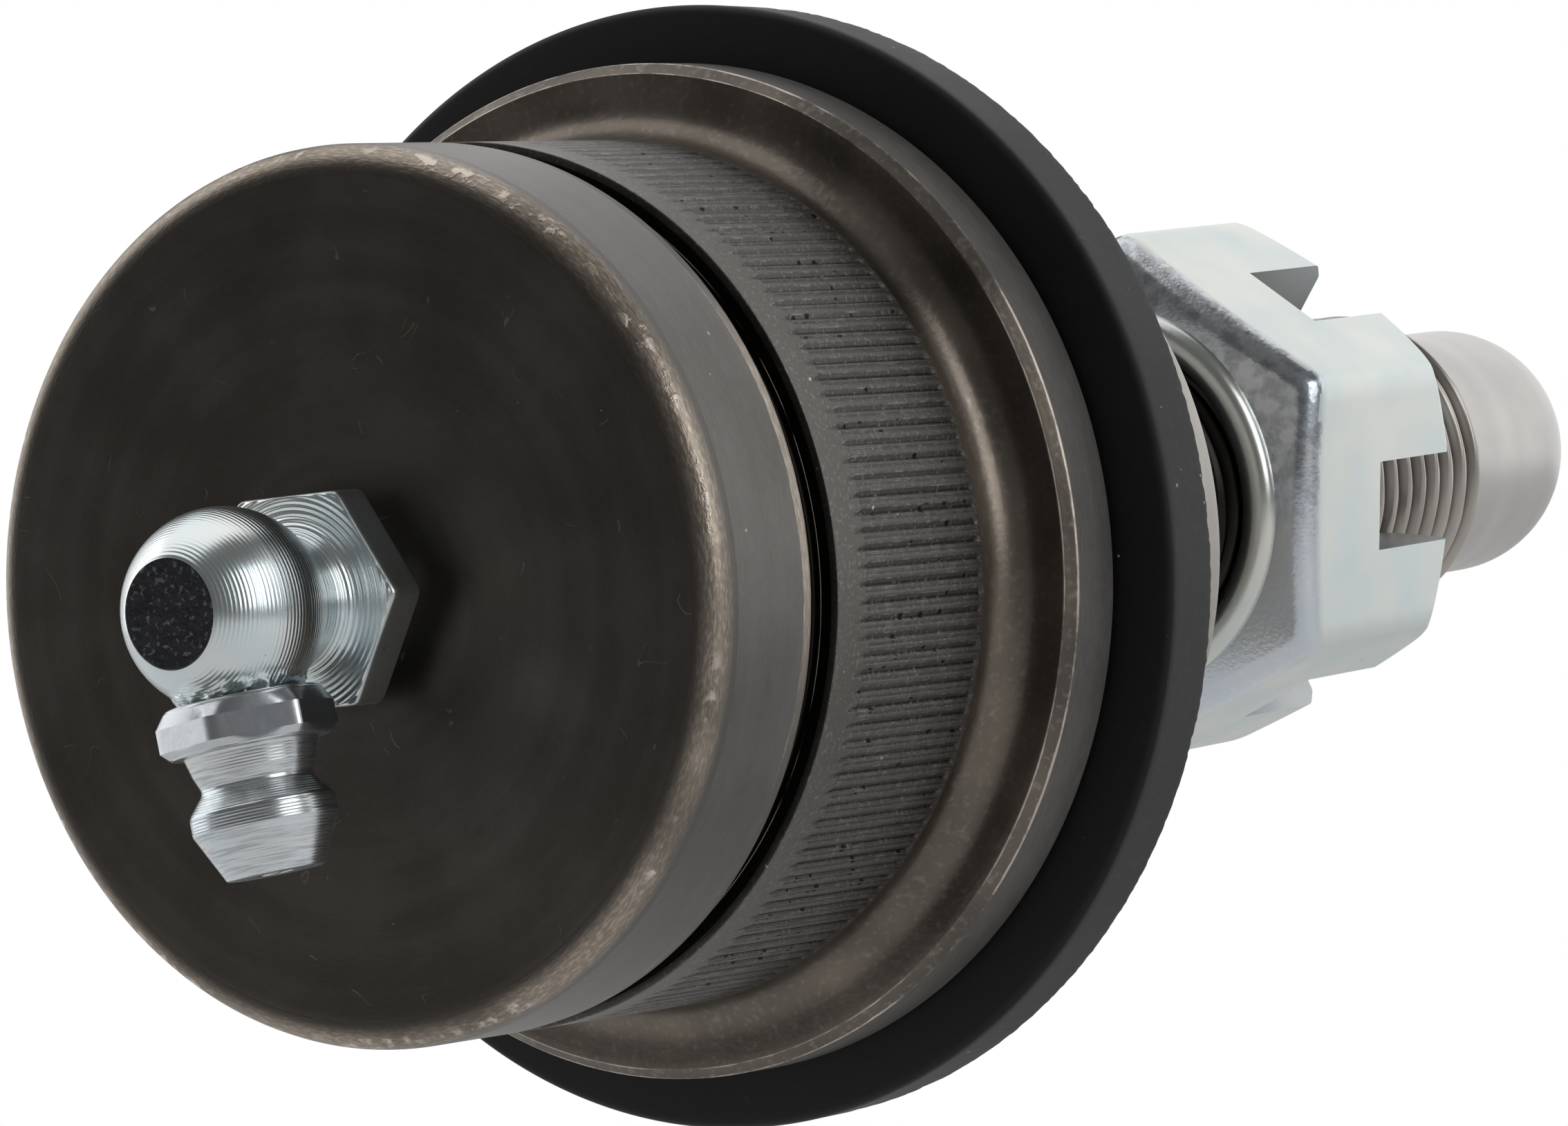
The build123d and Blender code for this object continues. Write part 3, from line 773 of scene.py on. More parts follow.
def turned_steel(
    name, dark, light, place=UPRIGHT, roughness=0.4, spacing=0.15, depth=1.5e-6, band=0.2,
    worn=grey(0.35, 0.12), wear=0.1, speck=0.06, scratched=0.0, grain=3.0e-6, fleck=0.0, lined=0.0,
    metal=1.0, painted_shade_below=None, shaded_root_depth=None,
):
    """Lathe-turned steel: tool rings, cloudy tint, worn edges, scratches and specks; it can also add painted
    shade in thread roots and below a height along its axis.
    """
    made, tree, shader, where = new_finish(name, place, Metallic=metal)
    rings = tool_rings(tree, where, spacing)
    cloud = patchy(tree, where, 160.0)
    share = calc(tree, "MULTIPLY_ADD", rings.outputs["Band"], band, calc(tree, "MULTIPLY", cloud, 1 - band))
    tint = mix(tree, spread(tree, share, 0.35, 0.65), dark, light)
    if lined:
        tint = mix(tree, calc(tree, "MULTIPLY", brushed(tree, where), lined), tint, worn)
    if fleck:
        flecks = spread(tree, patchy(tree, where, 2600.0, 2.0), 0.5, 0.8, 0.0, fleck)
        tint = mix(tree, flecks, tint, worn)
    edge = mark(tree, "edge")
    wear_and_highlight = use(tree, WEAR, Vector=where, Edge=edge, Scale=700.0, Reach=wear)
    tint = mix(tree, wear_and_highlight.outputs[0], tint, worn)
    if scratched:
        lines = use(tree, SCRATCHES, Vector=where, Scale=260.0, Width=0.004, Share=0.36)
        tint = mix(tree, calc(tree, "MULTIPLY", lines.outputs[0], scratched), tint, worn)
    dots = use(tree, SPECKS, Vector=where, Scale=900.0, Size=0.1, Share=speck)
    tint = mix(tree, dots.outputs[0], tint, worn)
    # painted shade: thread roots darkened with depth of cut
    if shaded_root_depth:
        cut = mark(tree, "cut")
        tint = mix(tree, spread(tree, cut, shaded_root_depth * 0.25, shaded_root_depth * 0.8), tint, grey(0.05, 0.08))
    # painted shade: darker below a height along the piece's own axis
    if painted_shade_below:
        height = place_along(tree, where, 1)
        tint = mix(tree, spread(tree, height, painted_shade_below[0] * MM, painted_shade_below[1] * MM, 1.0, 0.0), tint, grey(0.02, 0.05))
    tree.links.new(tint, shader.inputs["Base Color"])
    rough = calc(tree, "MULTIPLY_ADD", cloud, 0.16, roughness - 0.08)
    tree.links.new(rough, shader.inputs["Roughness"])
    normal = bump(tree, shader, rings.outputs["Height"], depth)
    bump(tree, shader, patchy(tree, where, 3000.0, 3.0), grain, normal)
    return made


def scuffed_rim():
    """The end's rounded rim: tone runs from face to side, with handling scuffs and a painted highlight along
    its crown.
    """
    made, tree, shader, where = new_finish("scuffed rim", Metallic=1.0)
    edge = mark(tree, "edge")
    height = place_along(tree, where, 1)
    across = spread(tree, height, END_FACE * MM, (END_FACE + RIM_RADIUS) * MM)
    tint = mix(tree, across, END_FACE_TINT, SIDE_TINT)
    lines = brushed(tree, where, 45.0, 9.0)
    # crown lightened: real handling scuffs together with a painted highlight along the crown
    wear_and_highlight = calc(tree, "MULTIPLY", edge, spread(tree, patchy(tree, where, 150.0, 6.0), 0.3, 0.55, 0.45, 1.0))
    share = calc(tree, "MULTIPLY", wear_and_highlight, calc(tree, "MULTIPLY_ADD", lines, 0.45, 0.55))
    tint = mix(tree, share, tint, grey(0.40, 0.17))
    chips = spread(tree, patchy(tree, where, 1500.0, 5.0), 0.5, 0.64)
    ragged = spread(tree, calc(tree, "ADD", edge, patchy(tree, where, 200.0, 5.0)), 1.42, 1.6)
    chips = calc(tree, "MULTIPLY", chips, ragged)
    tint = mix(tree, chips, tint, grey(0.62, 0.13))
    tree.links.new(tint, shader.inputs["Base Color"])
    tree.links.new(spread(tree, wear_and_highlight, 0.0, 1.0, 0.44, 0.4), shader.inputs["Roughness"])
    normal = bump(tree, shader, lines, 6.0e-6)
    bump(tree, shader, chips, 4.0e-5, normal)
    return made


def groove_lip():
    """Groove's eased lip, with a painted highlight brightest from 2 to 9 mm up, fading above and faint below,
    broken by brushed lines.
    """
    made, tree, shader, where = new_finish("groove lip", Metallic=1.0)
    height = place_along(tree, where, 2)
    # painted highlight: a band of height where the lip is lit, brightest from 2 to 9 mm up
    upper = spread(tree, height, 9 * MM, 15 * MM, 1.0, 0.0)
    wear_and_highlight = calc(tree, "MULTIPLY", upper, spread(tree, height, -10 * MM, 2 * MM, 0.12, 1.0))
    lines = brushed(tree, where, 30.0, 12.0)
    wear_and_highlight = calc(tree, "MULTIPLY", wear_and_highlight, calc(tree, "MULTIPLY_ADD", lines, 0.5, 0.5))
    tree.links.new(mix(tree, wear_and_highlight, SIDE_TINT, grey(0.42, 0.16)), shader.inputs["Base Color"])
    tree.links.new(spread(tree, wear_and_highlight, 0.0, 1.0, 0.42, 0.34), shader.inputs["Roughness"])
    bump(tree, shader, lines, 3.0e-6)
    return made


def groove_wall():
    """Groove wall painted near-black as shade, with one thin painted highlight line part of the way down its
    wall.
    """
    made, tree, shader, where = new_finish("groove wall", Metallic=1.0)
    parts = add(tree, "ShaderNodeSeparateXYZ", {0: where}).outputs
    squares = [calc(tree, "MULTIPLY", parts[k], parts[k]) for k in (0, 2)]
    radius = calc(tree, "SQRT", calc(tree, "ADD", *squares))
    # painted highlight: a thin broken bright line part of the way down the wall
    away = calc(tree, "ABSOLUTE", calc(tree, "SUBTRACT", radius, (BODY_R - GROOVE_HIGHLIGHT_DEPTH) * MM))
    line = spread(tree, away, 0.01 * MM, 0.03 * MM, 1.0, 0.0)
    line = calc(tree, "MULTIPLY", line, spread(tree, patchy(tree, where, 300.0), 0.35, 0.55))
    # painted shade: the groove's near-black tint
    tint = mix(tree, patchy(tree, where, 200.0), grey(0.014, 0.12), grey(0.024, 0.12))
    tree.links.new(mix(tree, line, tint, grey(0.6, 0.14)), shader.inputs["Base Color"])
    tree.links.new(spread(tree, line, 0.0, 1.0, 0.5, 0.7), shader.inputs["Roughness"])
    bump(tree, shader, line, 3.0e-5)
    return made


def knurl_steel():
    """Pressed knurl: lighter lands; flanks painted darker and groove bottoms painted near-black as shade, a
    painted highlight line along the groove edges, and pits and burrs.
    """
    made, tree, shader, where = new_finish("knurled band", Metallic=1.0)
    cut = mark(tree, "cut")
    pressed = spread(tree, cut, 0.0, KNURL_DEPTH * 0.3)
    # painted shade at the bottom of each groove
    groove_shade = spread(tree, cut, KNURL_DEPTH * 0.62, KNURL_DEPTH * 0.85)
    cloud = patchy(tree, where, 500.0)
    land = mix(tree, cloud, grey(0.10, 0.07), grey(0.145, 0.07))
    # painted shade: the pressed flanks are tinted darker than the lands
    flank = mix(tree, cloud, grey(0.075, 0.03), grey(0.11, 0.03))
    tint = mix(tree, pressed, land, flank)
    tint = mix(tree, calc(tree, "MULTIPLY", groove_shade, 0.9), tint, grey(0.02, 0.0))
    # painted highlight: a broken light line where the groove edges turn down
    lip = spread(tree, calc(tree, "ABSOLUTE", calc(tree, "SUBTRACT", cut, 0.03)), 0.0, 0.025, 1.0, 0.0)
    broken = spread(tree, patchy(tree, where, 1100.0, 4.0), 0.5, 0.64)
    tint = mix(tree, calc(tree, "MULTIPLY", lip, calc(tree, "MULTIPLY", broken, 0.55)), tint, grey(0.3, 0.06))
    sand = spread(tree, patchy(tree, where, 5200.0, 2.0), 0.52, 0.75, 0.0, 0.35)
    tint = mix(tree, sand, tint, grey(0.34, 0.08))
    pits = use(tree, SPECKS, Vector=where, Scale=1900.0, Size=0.42, Share=0.22)
    tint = mix(tree, calc(tree, "MULTIPLY", pits.outputs[0], pressed), tint, grey(0.012))
    burrs = use(tree, SPECKS, Vector=where, Scale=1500.0, Size=0.16, Share=0.1)
    tint = mix(tree, burrs.outputs[0], tint, grey(0.45, 0.08))
    tree.links.new(tint, shader.inputs["Base Color"])
    tree.links.new(calc(tree, "MULTIPLY_ADD", cloud, 0.2, 0.36), shader.inputs["Roughness"])
    rough = calc(
        tree, "MULTIPLY", patchy(tree, where, 1500.0, 4.0), calc(tree, "MULTIPLY_ADD", pressed, 0.8, 0.2)
    )
    normal = bump(tree, shader, rough, 4.0e-5)
    bump(tree, shader, patchy(tree, where, 6000.0, 2.0), 1.0e-5, normal)
    return made


def zinc_plate(
    name, colour, place, roughness, spacing=0.2, feed=0.0, grain=3.0e-6, fine=1500.0, speck=0.06, mottled=0.0,
    bright=0.0, lined=0.0, blotched_above=None,
):
    """Bright zinc over machined steel; feed is the height of its tool rings in metres."""
    made, tree, shader, where = new_finish(name, place, Metallic=1.0)
    cloud = patchy(tree, where, 220.0)
    cool = (colour[0] * 0.9, colour[1] * 0.97, colour[2] * 1.02, 1)
    tint = mix(tree, spread(tree, cloud, 0.35, 0.7), colour, cool)
    if mottled:
        blot = spread(tree, patchy(tree, where, 1300.0, 4.0), 0.4, 0.62)
        # dark blotches only above this height, so the piece is darker towards the top
        if blotched_above is not None:
            height = place_along(tree, where, 2)
            above = spread(tree, height, blotched_above * MM, (blotched_above + 5) * MM)
            blot = calc(tree, "MULTIPLY", blot, above)
        tint = mix(tree, calc(tree, "MULTIPLY", blot, mottled), tint, grey(0.05))
    dots = use(tree, SPECKS, Vector=where, Scale=1600.0, Size=0.14, Share=speck)
    tint = mix(tree, calc(tree, "MULTIPLY", dots.outputs[0], 0.6), tint, grey(0.15))
    if lined:
        tint = mix(tree, calc(tree, "MULTIPLY", brushed(tree, where, 1.6, 13.0), lined), tint, grey(0.12))
    if bright:
        chips = spread(tree, patchy(tree, where, 3800.0, 3.0), 0.56, 0.66, 0.0, bright)
        tint = mix(tree, chips, tint, grey(0.85))
        # painted highlight: rounded edges, found by the edge mark, lightened towards near-white
        edge = mark(tree, "edge")
        tint = mix(tree, calc(tree, "MULTIPLY", edge, bright), tint, grey(0.85))
    tree.links.new(tint, shader.inputs["Base Color"])
    tree.links.new(calc(tree, "MULTIPLY_ADD", cloud, 0.14, roughness - 0.07), shader.inputs["Roughness"])
    normal = None
    if feed:
        normal = bump(tree, shader, tool_rings(tree, where, spacing).outputs["Feed"], feed)
    bump(tree, shader, patchy(tree, where, fine, 4.0), grain, normal)
    return made


def boot_rubber(name, colour, roughness, dusty):
    """Moulded rubber with dust specks, hairs and a faint bloom."""
    made, tree, shader, where = new_finish(name, Metallic=0.0)
    shader.inputs["Specular IOR Level"].default_value = 0.3
    cloud = patchy(tree, where, 130.0, 6.0)
    tint = mix(tree, cloud, colour, tuple(c * 1.5 for c in colour[:3]) + (1,))
    bloom = spread(tree, patchy(tree, where, 2000.0, 3.0), 0.5, 0.75, 0.0, dusty * 0.3)
    tint = mix(tree, bloom, tint, grey(0.12))
    dust = use(tree, SPECKS, Vector=where, Scale=1300.0, Size=0.14, Share=dusty)
    tint = mix(tree, calc(tree, "MULTIPLY", dust.outputs[0], 0.7), tint, grey(0.35))
    hairs = use(tree, SCRATCHES, Vector=where, Scale=70.0, Width=0.0016, Share=0.36)
    tint = mix(tree, calc(tree, "MULTIPLY", hairs.outputs[0], dusty * 0.6), tint, grey(0.3))
    tree.links.new(tint, shader.inputs["Base Color"])
    tree.links.new(calc(tree, "MULTIPLY_ADD", cloud, 0.2, roughness), shader.inputs["Roughness"])
    bump(tree, shader, patchy(tree, where, 1100.0, 5.0), 1.2e-5)
    return made


def plain_finish(name, colour, metallic, roughness):
    """Hidden inner pieces: a cloudy tint over a fine grain."""
    made, tree, shader, where = new_finish(name, Metallic=metallic)
    cloud = patchy(tree, where, 300.0)
    darker = tuple(c * 0.75 for c in colour[:3]) + (1,)
    tree.links.new(mix(tree, cloud, darker, colour), shader.inputs["Base Color"])
    tree.links.new(calc(tree, "MULTIPLY_ADD", cloud, 0.15, roughness), shader.inputs["Roughness"])
    bump(tree, shader, patchy(tree, where, 2500.0), 3.0e-6)
    return made


# ======================================================================
# Pieces
# ======================================================================
END_FACE_TINT = grey(0.072, 0.12)
SIDE_TINT = grey(0.105, 0.06)


def housing_zone(r, y):
    """Index of a finish in make_housing's list."""
    if y < END_FACE + 0.01:
        return 0
    if y < END_FACE + RIM_RADIUS + 0.3 and r > 17:
        return 1
    if GROOVE_START - GROOVE_LIP < y < GROOVE_START - 0.03 and r > BODY_R - 0.2:
        return 7
    if GROOVE_START - 0.03 < y < GROOVE_END + 0.02 and r > 17:
        return 3
    if y > 0.02 and r > FLANGE_R - 1:
        return 6 if y < 0.7 else 5
    if y > KNURL_END and r > 19:
        return 4
    return 2


def rim_wear_and_highlight(piece):
    """Keeps the rim's wear and painted highlight to the crown of its rounding, around 50 degrees from the end
    face.
    """
    worn = piece.data.attributes["edge"].data
    for v, mark in zip(piece.data.vertices, worn):
        out = (v.co.y / MM - END_FACE) / RIM_RADIUS
        if out < 1.3:
            turned_by = math.degrees(math.acos(max(-1.0, min(1.0, 1 - out))))
            mark.value = min(1.0, max(0.0, 1.5 - abs(turned_by - 50) / 28))


def make_housing():
    closed_end = soften(
        [
            (PORT_R, CAVITY_FLOOR, 0),
            (PORT_R, END_FACE, 0.15),
            (17.0, END_FACE, 0),
            (BODY_R, END_FACE, RIM_RADIUS),
            (BODY_R, GROOVE_START - GROOVE_LIP, 0.1),
            (BODY_R - 0.06, GROOVE_START, 0.04),
            (GROOVE_R, GROOVE_START, 0.12),
            (GROOVE_R, GROOVE_END, 0.12),
            (BODY_R, GROOVE_END, 0.06),
            (BODY_R, KNURL_START - 0.5, 0),
        ],
        8,
    )
    tips = rows(BODY_R, KNURL_START - 0.4, KNURL_START + KNURL_TIP + 0.3, 0.09)
    lands = rows(BODY_R, KNURL_START + KNURL_TIP + 0.6, KNURL_END - 0.6, 0.9)
    ends = rows(BODY_R, KNURL_END - 0.5, KNURL_END, 0.1)
    flange = soften(
        [
            (BODY_R, KNURL_END, 0),
            (BODY_R, 0, SEAT_FILLET),
            (FLANGE_R - 0.5, 0, 0.12),
            (FLANGE_R, 0.5, 0.12),
            (FLANGE_R, FLANGE_END, 0.15),
            (NECK_R, FLANGE_END, 0.2),
            (NECK_R, HOUSING_END - 0.8, 0.3),
            (NECK_R - 0.8, HOUSING_END, 0.3),
            (LIP_R, HOUSING_END, 0.2),
            (LIP_R, COVER_END + 0.05, 0.1),
            (COVER_R, COVER_END, 0),
            (COVER_R, COVER_START, 0),
            (CAVITY_R, COVER_START, 0),
            (CAVITY_R, CAVITY_FLOOR, 0),
        ],
        10,
    )
    piece = turned(
        "housing_body",
        [(closed_end, COARSE), (tips + lands + ends, FINE), (flange[1:], COARSE)],
        housing_zone,
        closed=True,
    )
    rim_wear_and_highlight(piece)
    for finish in (
        turned_steel(
            "end face", END_FACE_TINT, grey(0.095, 0.10), roughness=0.36, scratched=0.3, speck=0.03,
            lined=0.025,
        ),
        scuffed_rim(),
        turned_steel(
            "ground side", SIDE_TINT, grey(0.14, 0.05), roughness=0.42, wear=0.4, grain=8.0e-6, lined=0.05,
        ),
        groove_wall(),
        turned_steel(
            "seat fillet", grey(0.12, 0.15), grey(0.18, 0.16), roughness=0.34, spacing=0.2, grain=1.2e-5,
            fleck=0.3,
        ),
        turned_steel(
            "flange side", grey(0.085, 0.04), grey(0.11, 0.04), roughness=0.6, grain=1.0e-5, metal=0.25,
            lined=0.1,
        ),
        turned_steel(
            "flange chamfer", grey(0.10, 0.13), grey(0.16, 0.15), roughness=0.42, worn=grey(0.5, 0.12),
            wear=0.5, grain=1.0e-5, fleck=0.25,
        ),
        groove_lip(),
    ):
        piece.data.materials.append(finish)
    apply_tree(piece, knurl_tree(knurl_steel()))
    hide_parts("housing")
    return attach(piece, "housing_body")


def boot_zone(r, y):
    """0 for the boot, 1 for its wide band, whose tint is painted lighter as its lit side."""
    return 1 if r > BOOT_BAND_R and y > 4.3 else 0


def make_boot():
    """Rubber boot with a square band; its mould flash stands up along the back edge."""
    outline = soften(
        [
            (22.75, 3.85, 0),
            (24.0, 3.85, 0),
            (26.55, 4.1, 0.45),
            (26.45, 7.45, 0.1),
            (23.8, 10.3, 1.0),
            (20.85, 12.5, 2.0),
            (18.6, BOOT_TOP, 0.3),
            (17.0, BOOT_TOP, 0.3),
            (19.2, 13.4, 1.5),
            (20.2, 11.6, 0.5),
            (22.75, 8.5, 0.3),
            (22.75, 3.85, 0),
        ],
        6,
    )
    piece = turned("dust_boot", [(outline[:-1], 720)], boot_zone, closed=True, sharp=35)
    for v in piece.data.vertices:
        r = math.hypot(v.co.x, v.co.z) / MM
        y = v.co.y / MM
        if r > BOOT_BAND_R - 0.1 and BOOT_FLASH_START < y < BOOT_FLASH_END:
            fine = noise.noise(Vector((v.co.x * 3500, 3.7, v.co.z * 3500)))
            bite = noise.noise(Vector((v.co.x * 1200, 9.1, v.co.z * 1200)))
            rise = 0.07 + 0.06 * fine - 0.12 * max(0.0, bite - 0.25)
            v.co.y += rise * MM
            v.co.x *= 1 + rise * 0.3 / r
            v.co.z *= 1 + rise * 0.3 / r
        if y > BOOT_TOP_START:
            lean = (y - BOOT_TOP_START) / (BOOT_TOP - BOOT_TOP_START)
            v.co.y += lean * v.co.z * math.tan(math.radians(-STUD_LEAN))
    piece.data.materials.append(boot_rubber("boot rubber", grey(0.0045), 0.45, 0.08))
    # the band's rubber is a lighter copy of the boot rubber, painted light on its lit side; its heavier dust
    # is real dust
    piece.data.materials.append(boot_rubber("boot band painted lighter", grey(0.022), 0.5, 0.3))
    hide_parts("dust_boot")
    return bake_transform(piece)


def make_top_ring():
    outline = soften(
        [
            (TOP_RING_BORE_R, TOP_RING_FLOOR, 0),
            (TOP_RING_RIM_R, TOP_RING_FLOOR, 0.3),
            (TOP_RING_RIM_R, TOP_RING_START, 0.2),
            (TOP_RING_R, TOP_RING_START, 0.2),
            (TOP_RING_R, TOP_RING_END, 0.35),
            (TOP_RING_BORE_R, TOP_RING_END, 0.2),
            (TOP_RING_BORE_R, TOP_RING_FLOOR, 0),
        ]
    )
    piece = turned("boot_top_ring", [(outline[:-1], 256)], closed=True)
    piece.data.transform(STUD_PLACE)
    piece.data.materials.append(
        turned_steel("ring steel", grey(0.32, 0.05), grey(0.42, 0.05), STUD_PLACE, roughness=0.45, spacing=0.2)
    )
    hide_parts("boot_top_ring")
    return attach(piece, "tilting_ring")


def stud_zone(r, y):
    """0 for steel, 1 for the nose, 2 for the undercut, painted near-black as shade."""
    if TAPER_END + 0.1 < y < THREAD_START:
        return 2
    return 1 if y > NOSE_START - 0.05 else 0


def make_stud():
    ball = [(0.0, BALL_FLAT, 0.0), (BALL_FLAT_R, BALL_FLAT, 0.0)]
    ball += arc(0, 0, BALL_R, FLAT_MEETS_BALL, FILLET_MEETS_BALL, 40)
    fillet_y = math.sqrt((BALL_R + STUD_NECK_FILLET) ** 2 - (STUD_NECK_R + STUD_NECK_FILLET) ** 2)
    fillet = arc(
        STUD_NECK_R + STUD_NECK_FILLET, fillet_y, STUD_NECK_FILLET, 180 + FILLET_MEETS_BALL, 180, 8
    )[1:-1]
    shank = soften(
        [
            (STUD_NECK_R, fillet_y, 0),
            (STUD_NECK_R, FLARE_START, 0.4),
            (COLLAR_R, FLARE_END, 0.5),
            (COLLAR_R, COLLAR_END, 0.3),
            (TAPER_END_R, TAPER_END, 0.15),
            (UNDERCUT_R, UNDERCUT_START, 0.4),
            (UNDERCUT_R, UNDERCUT_END, 0.4),
            (THREAD_R, THREAD_START, 0),
        ]
    )
    thread = rows(THREAD_R, THREAD_START, THREAD_END, 0.1)
    nose = soften(
        [
            (THREAD_R - THREAD_CHAMFER, NOSE_START, 0),
            (NOSE_R, NOSE_START + 0.3, 0.2),
            (NOSE_R, STUD_TIP - NOSE_R, 0),
        ]
    )
    dome = arc(0, STUD_TIP - NOSE_R, NOSE_R, 0, 90, 24)
    piece = turned("ball_stud", [(ball + fillet + shank + thread + nose + dome, 160)], stud_zone)
    piece.data.materials.append(
        turned_steel("stud steel", grey(0.4, 0.03), grey(0.5, 0.03), STUD_PLACE, roughness=0.3, spacing=0.2)
    )
    piece.data.materials.append(
        turned_steel(
            "nose steel", grey(0.44, 0.03), grey(0.52, 0.03), STUD_PLACE, roughness=0.36, spacing=0.35,
            depth=0.8e-6, speck=0.02, worn=grey(0.6),
        )
    )
    # the undercut is painted near-black as shade, in the gap between the boot's top ring and the nut
    piece.data.materials.append(
        turned_steel("undercut painted shade", grey(0.035, 0.05), grey(0.05, 0.05), STUD_PLACE, roughness=0.5)
    )
    # the thread steel has painted shade in its roots and at and below the nut's seat
    cut_steel = turned_steel(
        "thread steel", grey(0.34, 0.08), grey(0.46, 0.08), STUD_PLACE, roughness=0.34, spacing=0.2,
        painted_shade_below=(NUT_SEAT + 0.5, NUT_SEAT + 4), shaded_root_depth=THREAD_DEPTH,
    )
    apply_tree(piece, thread_tree(cut_steel))
    piece.data.transform(STUD_PLACE)
    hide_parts("ball_stud")
    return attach(piece, "stud")


def slot_side(slot):
    """Direction across a slot of the nut."""
    turn = math.radians(NUT_TURN + 30 + 60 * slot)
    return Vector((math.cos(turn), 0, -math.sin(turn)))


def cut_slots(piece):
    """Three slots right across the crown, through the middles of opposite flats."""
    floor = NUT_TOP - NUT_SLOT_DEPTH
    size = Matrix.Diagonal((NUT_SLOT_WIDTH * MM, 2 * NUT_SLOT_DEPTH * MM, 40 * MM, 1))
    place = Matrix.Translation((0, (floor + NUT_SLOT_DEPTH) * MM, 0)) @ size
    for i in range(3):
        tool = bmesh.new()
        turn = Matrix.Rotation(math.radians(NUT_TURN + 30 + 60 * i), 4, "Y")
        bmesh.ops.create_cube(tool, size=1.0, matrix=turn @ place)
        cutter = to_object(f"slot_cutter_{i}", tool)
        cut = piece.modifiers.new("slot", "BOOLEAN")
        cut.object = cutter
        cut.solver = "EXACT"
        view = bpy.context.evaluated_depsgraph_get()
        data = bpy.data.meshes.new_from_object(piece.evaluated_get(view), depsgraph=view)
        piece.modifiers.clear()
        piece.data = data
        bpy.data.objects.remove(cutter)
    sides = [slot_side(i) for i in range(3)]
    for face in piece.data.polygons:
        if face.center.y < (floor - 0.01) * MM:
            continue
        across = min(abs(face.center.dot(side)) for side in sides) / MM
        wall = max(abs(face.normal.dot(side)) for side in sides) > 0.98
        ground = face.center.y < (floor + 0.01) * MM
        # slot walls and floors get a darker copy of the nut zinc, painted shade
        if across < NUT_SLOT_WIDTH / 2 + 0.01 and (wall or ground):
            face.material_index = 2
    piece.data.set_sharp_from_angle(angle=math.radians(30))


def hex_cap(piece, start, end, flat_r, corner, rounding):
    """Limits a turned piece to a hexagon from start to end."""
    for v in piece.data.vertices:
        y = v.co.y / MM
        r = math.hypot(v.co.x, v.co.z) / MM
        if start <= y <= end and r > flat_r * 0.9:
            angle = math.degrees(math.atan2(v.co.x, v.co.z))
            new = soft_min(r, hex_reach(angle, flat_r, corner), rounding)
            v.co.x *= new / r
            v.co.z *= new / r


def nut_outline(reach):
    """The nut's outside from seat to crown, where its side stands at reach from the axis."""
    start = NUT_SEAT + NUT_WASHER_STEP
    bevel_end = start + (reach - NUT_WASHER_R) * math.tan(math.radians(NUT_BEVEL))
    crown = reach - NUT_CROWN_R
    return soften(
        [
            (NUT_WASHER_R, start, 0),
            (reach, bevel_end, 1.6),
            (reach, NUT_TOP - crown, 0.6),
            (reach - crown, NUT_TOP, 0.3),
            (9.4, NUT_TOP, 0),
        ],
        6,
        fading=False,
    )


def nut_bore():
    """The nut's crown face, bore, countersink and rounded washer boss, back to the seat's bevel."""
    inside = soften(
        [
            (9.4, NUT_TOP, 0),
            (8.6, NUT_TOP, 0.1),
            (NUT_BORE_R, NUT_TOP - 0.6, 0.1),
            (NUT_BORE_R, NUT_SEAT + 1.4, 0.1),
            (WASHER_FACE_START, NUT_SEAT + 0.1, 0.1),
            (WASHER_FACE_END, NUT_SEAT, 0),
        ]
    )
    width = NUT_WASHER_R - WASHER_FACE_END
    crown = []
    for k in range(11):
        bend = math.pi / 20 * k
        spot = (WASHER_FACE_END + width * math.sin(bend), NUT_SEAT + NUT_WASHER_STEP * (1 - math.cos(bend)))
        crown.append((*spot, 0.0))
    return inside[:-1] + crown


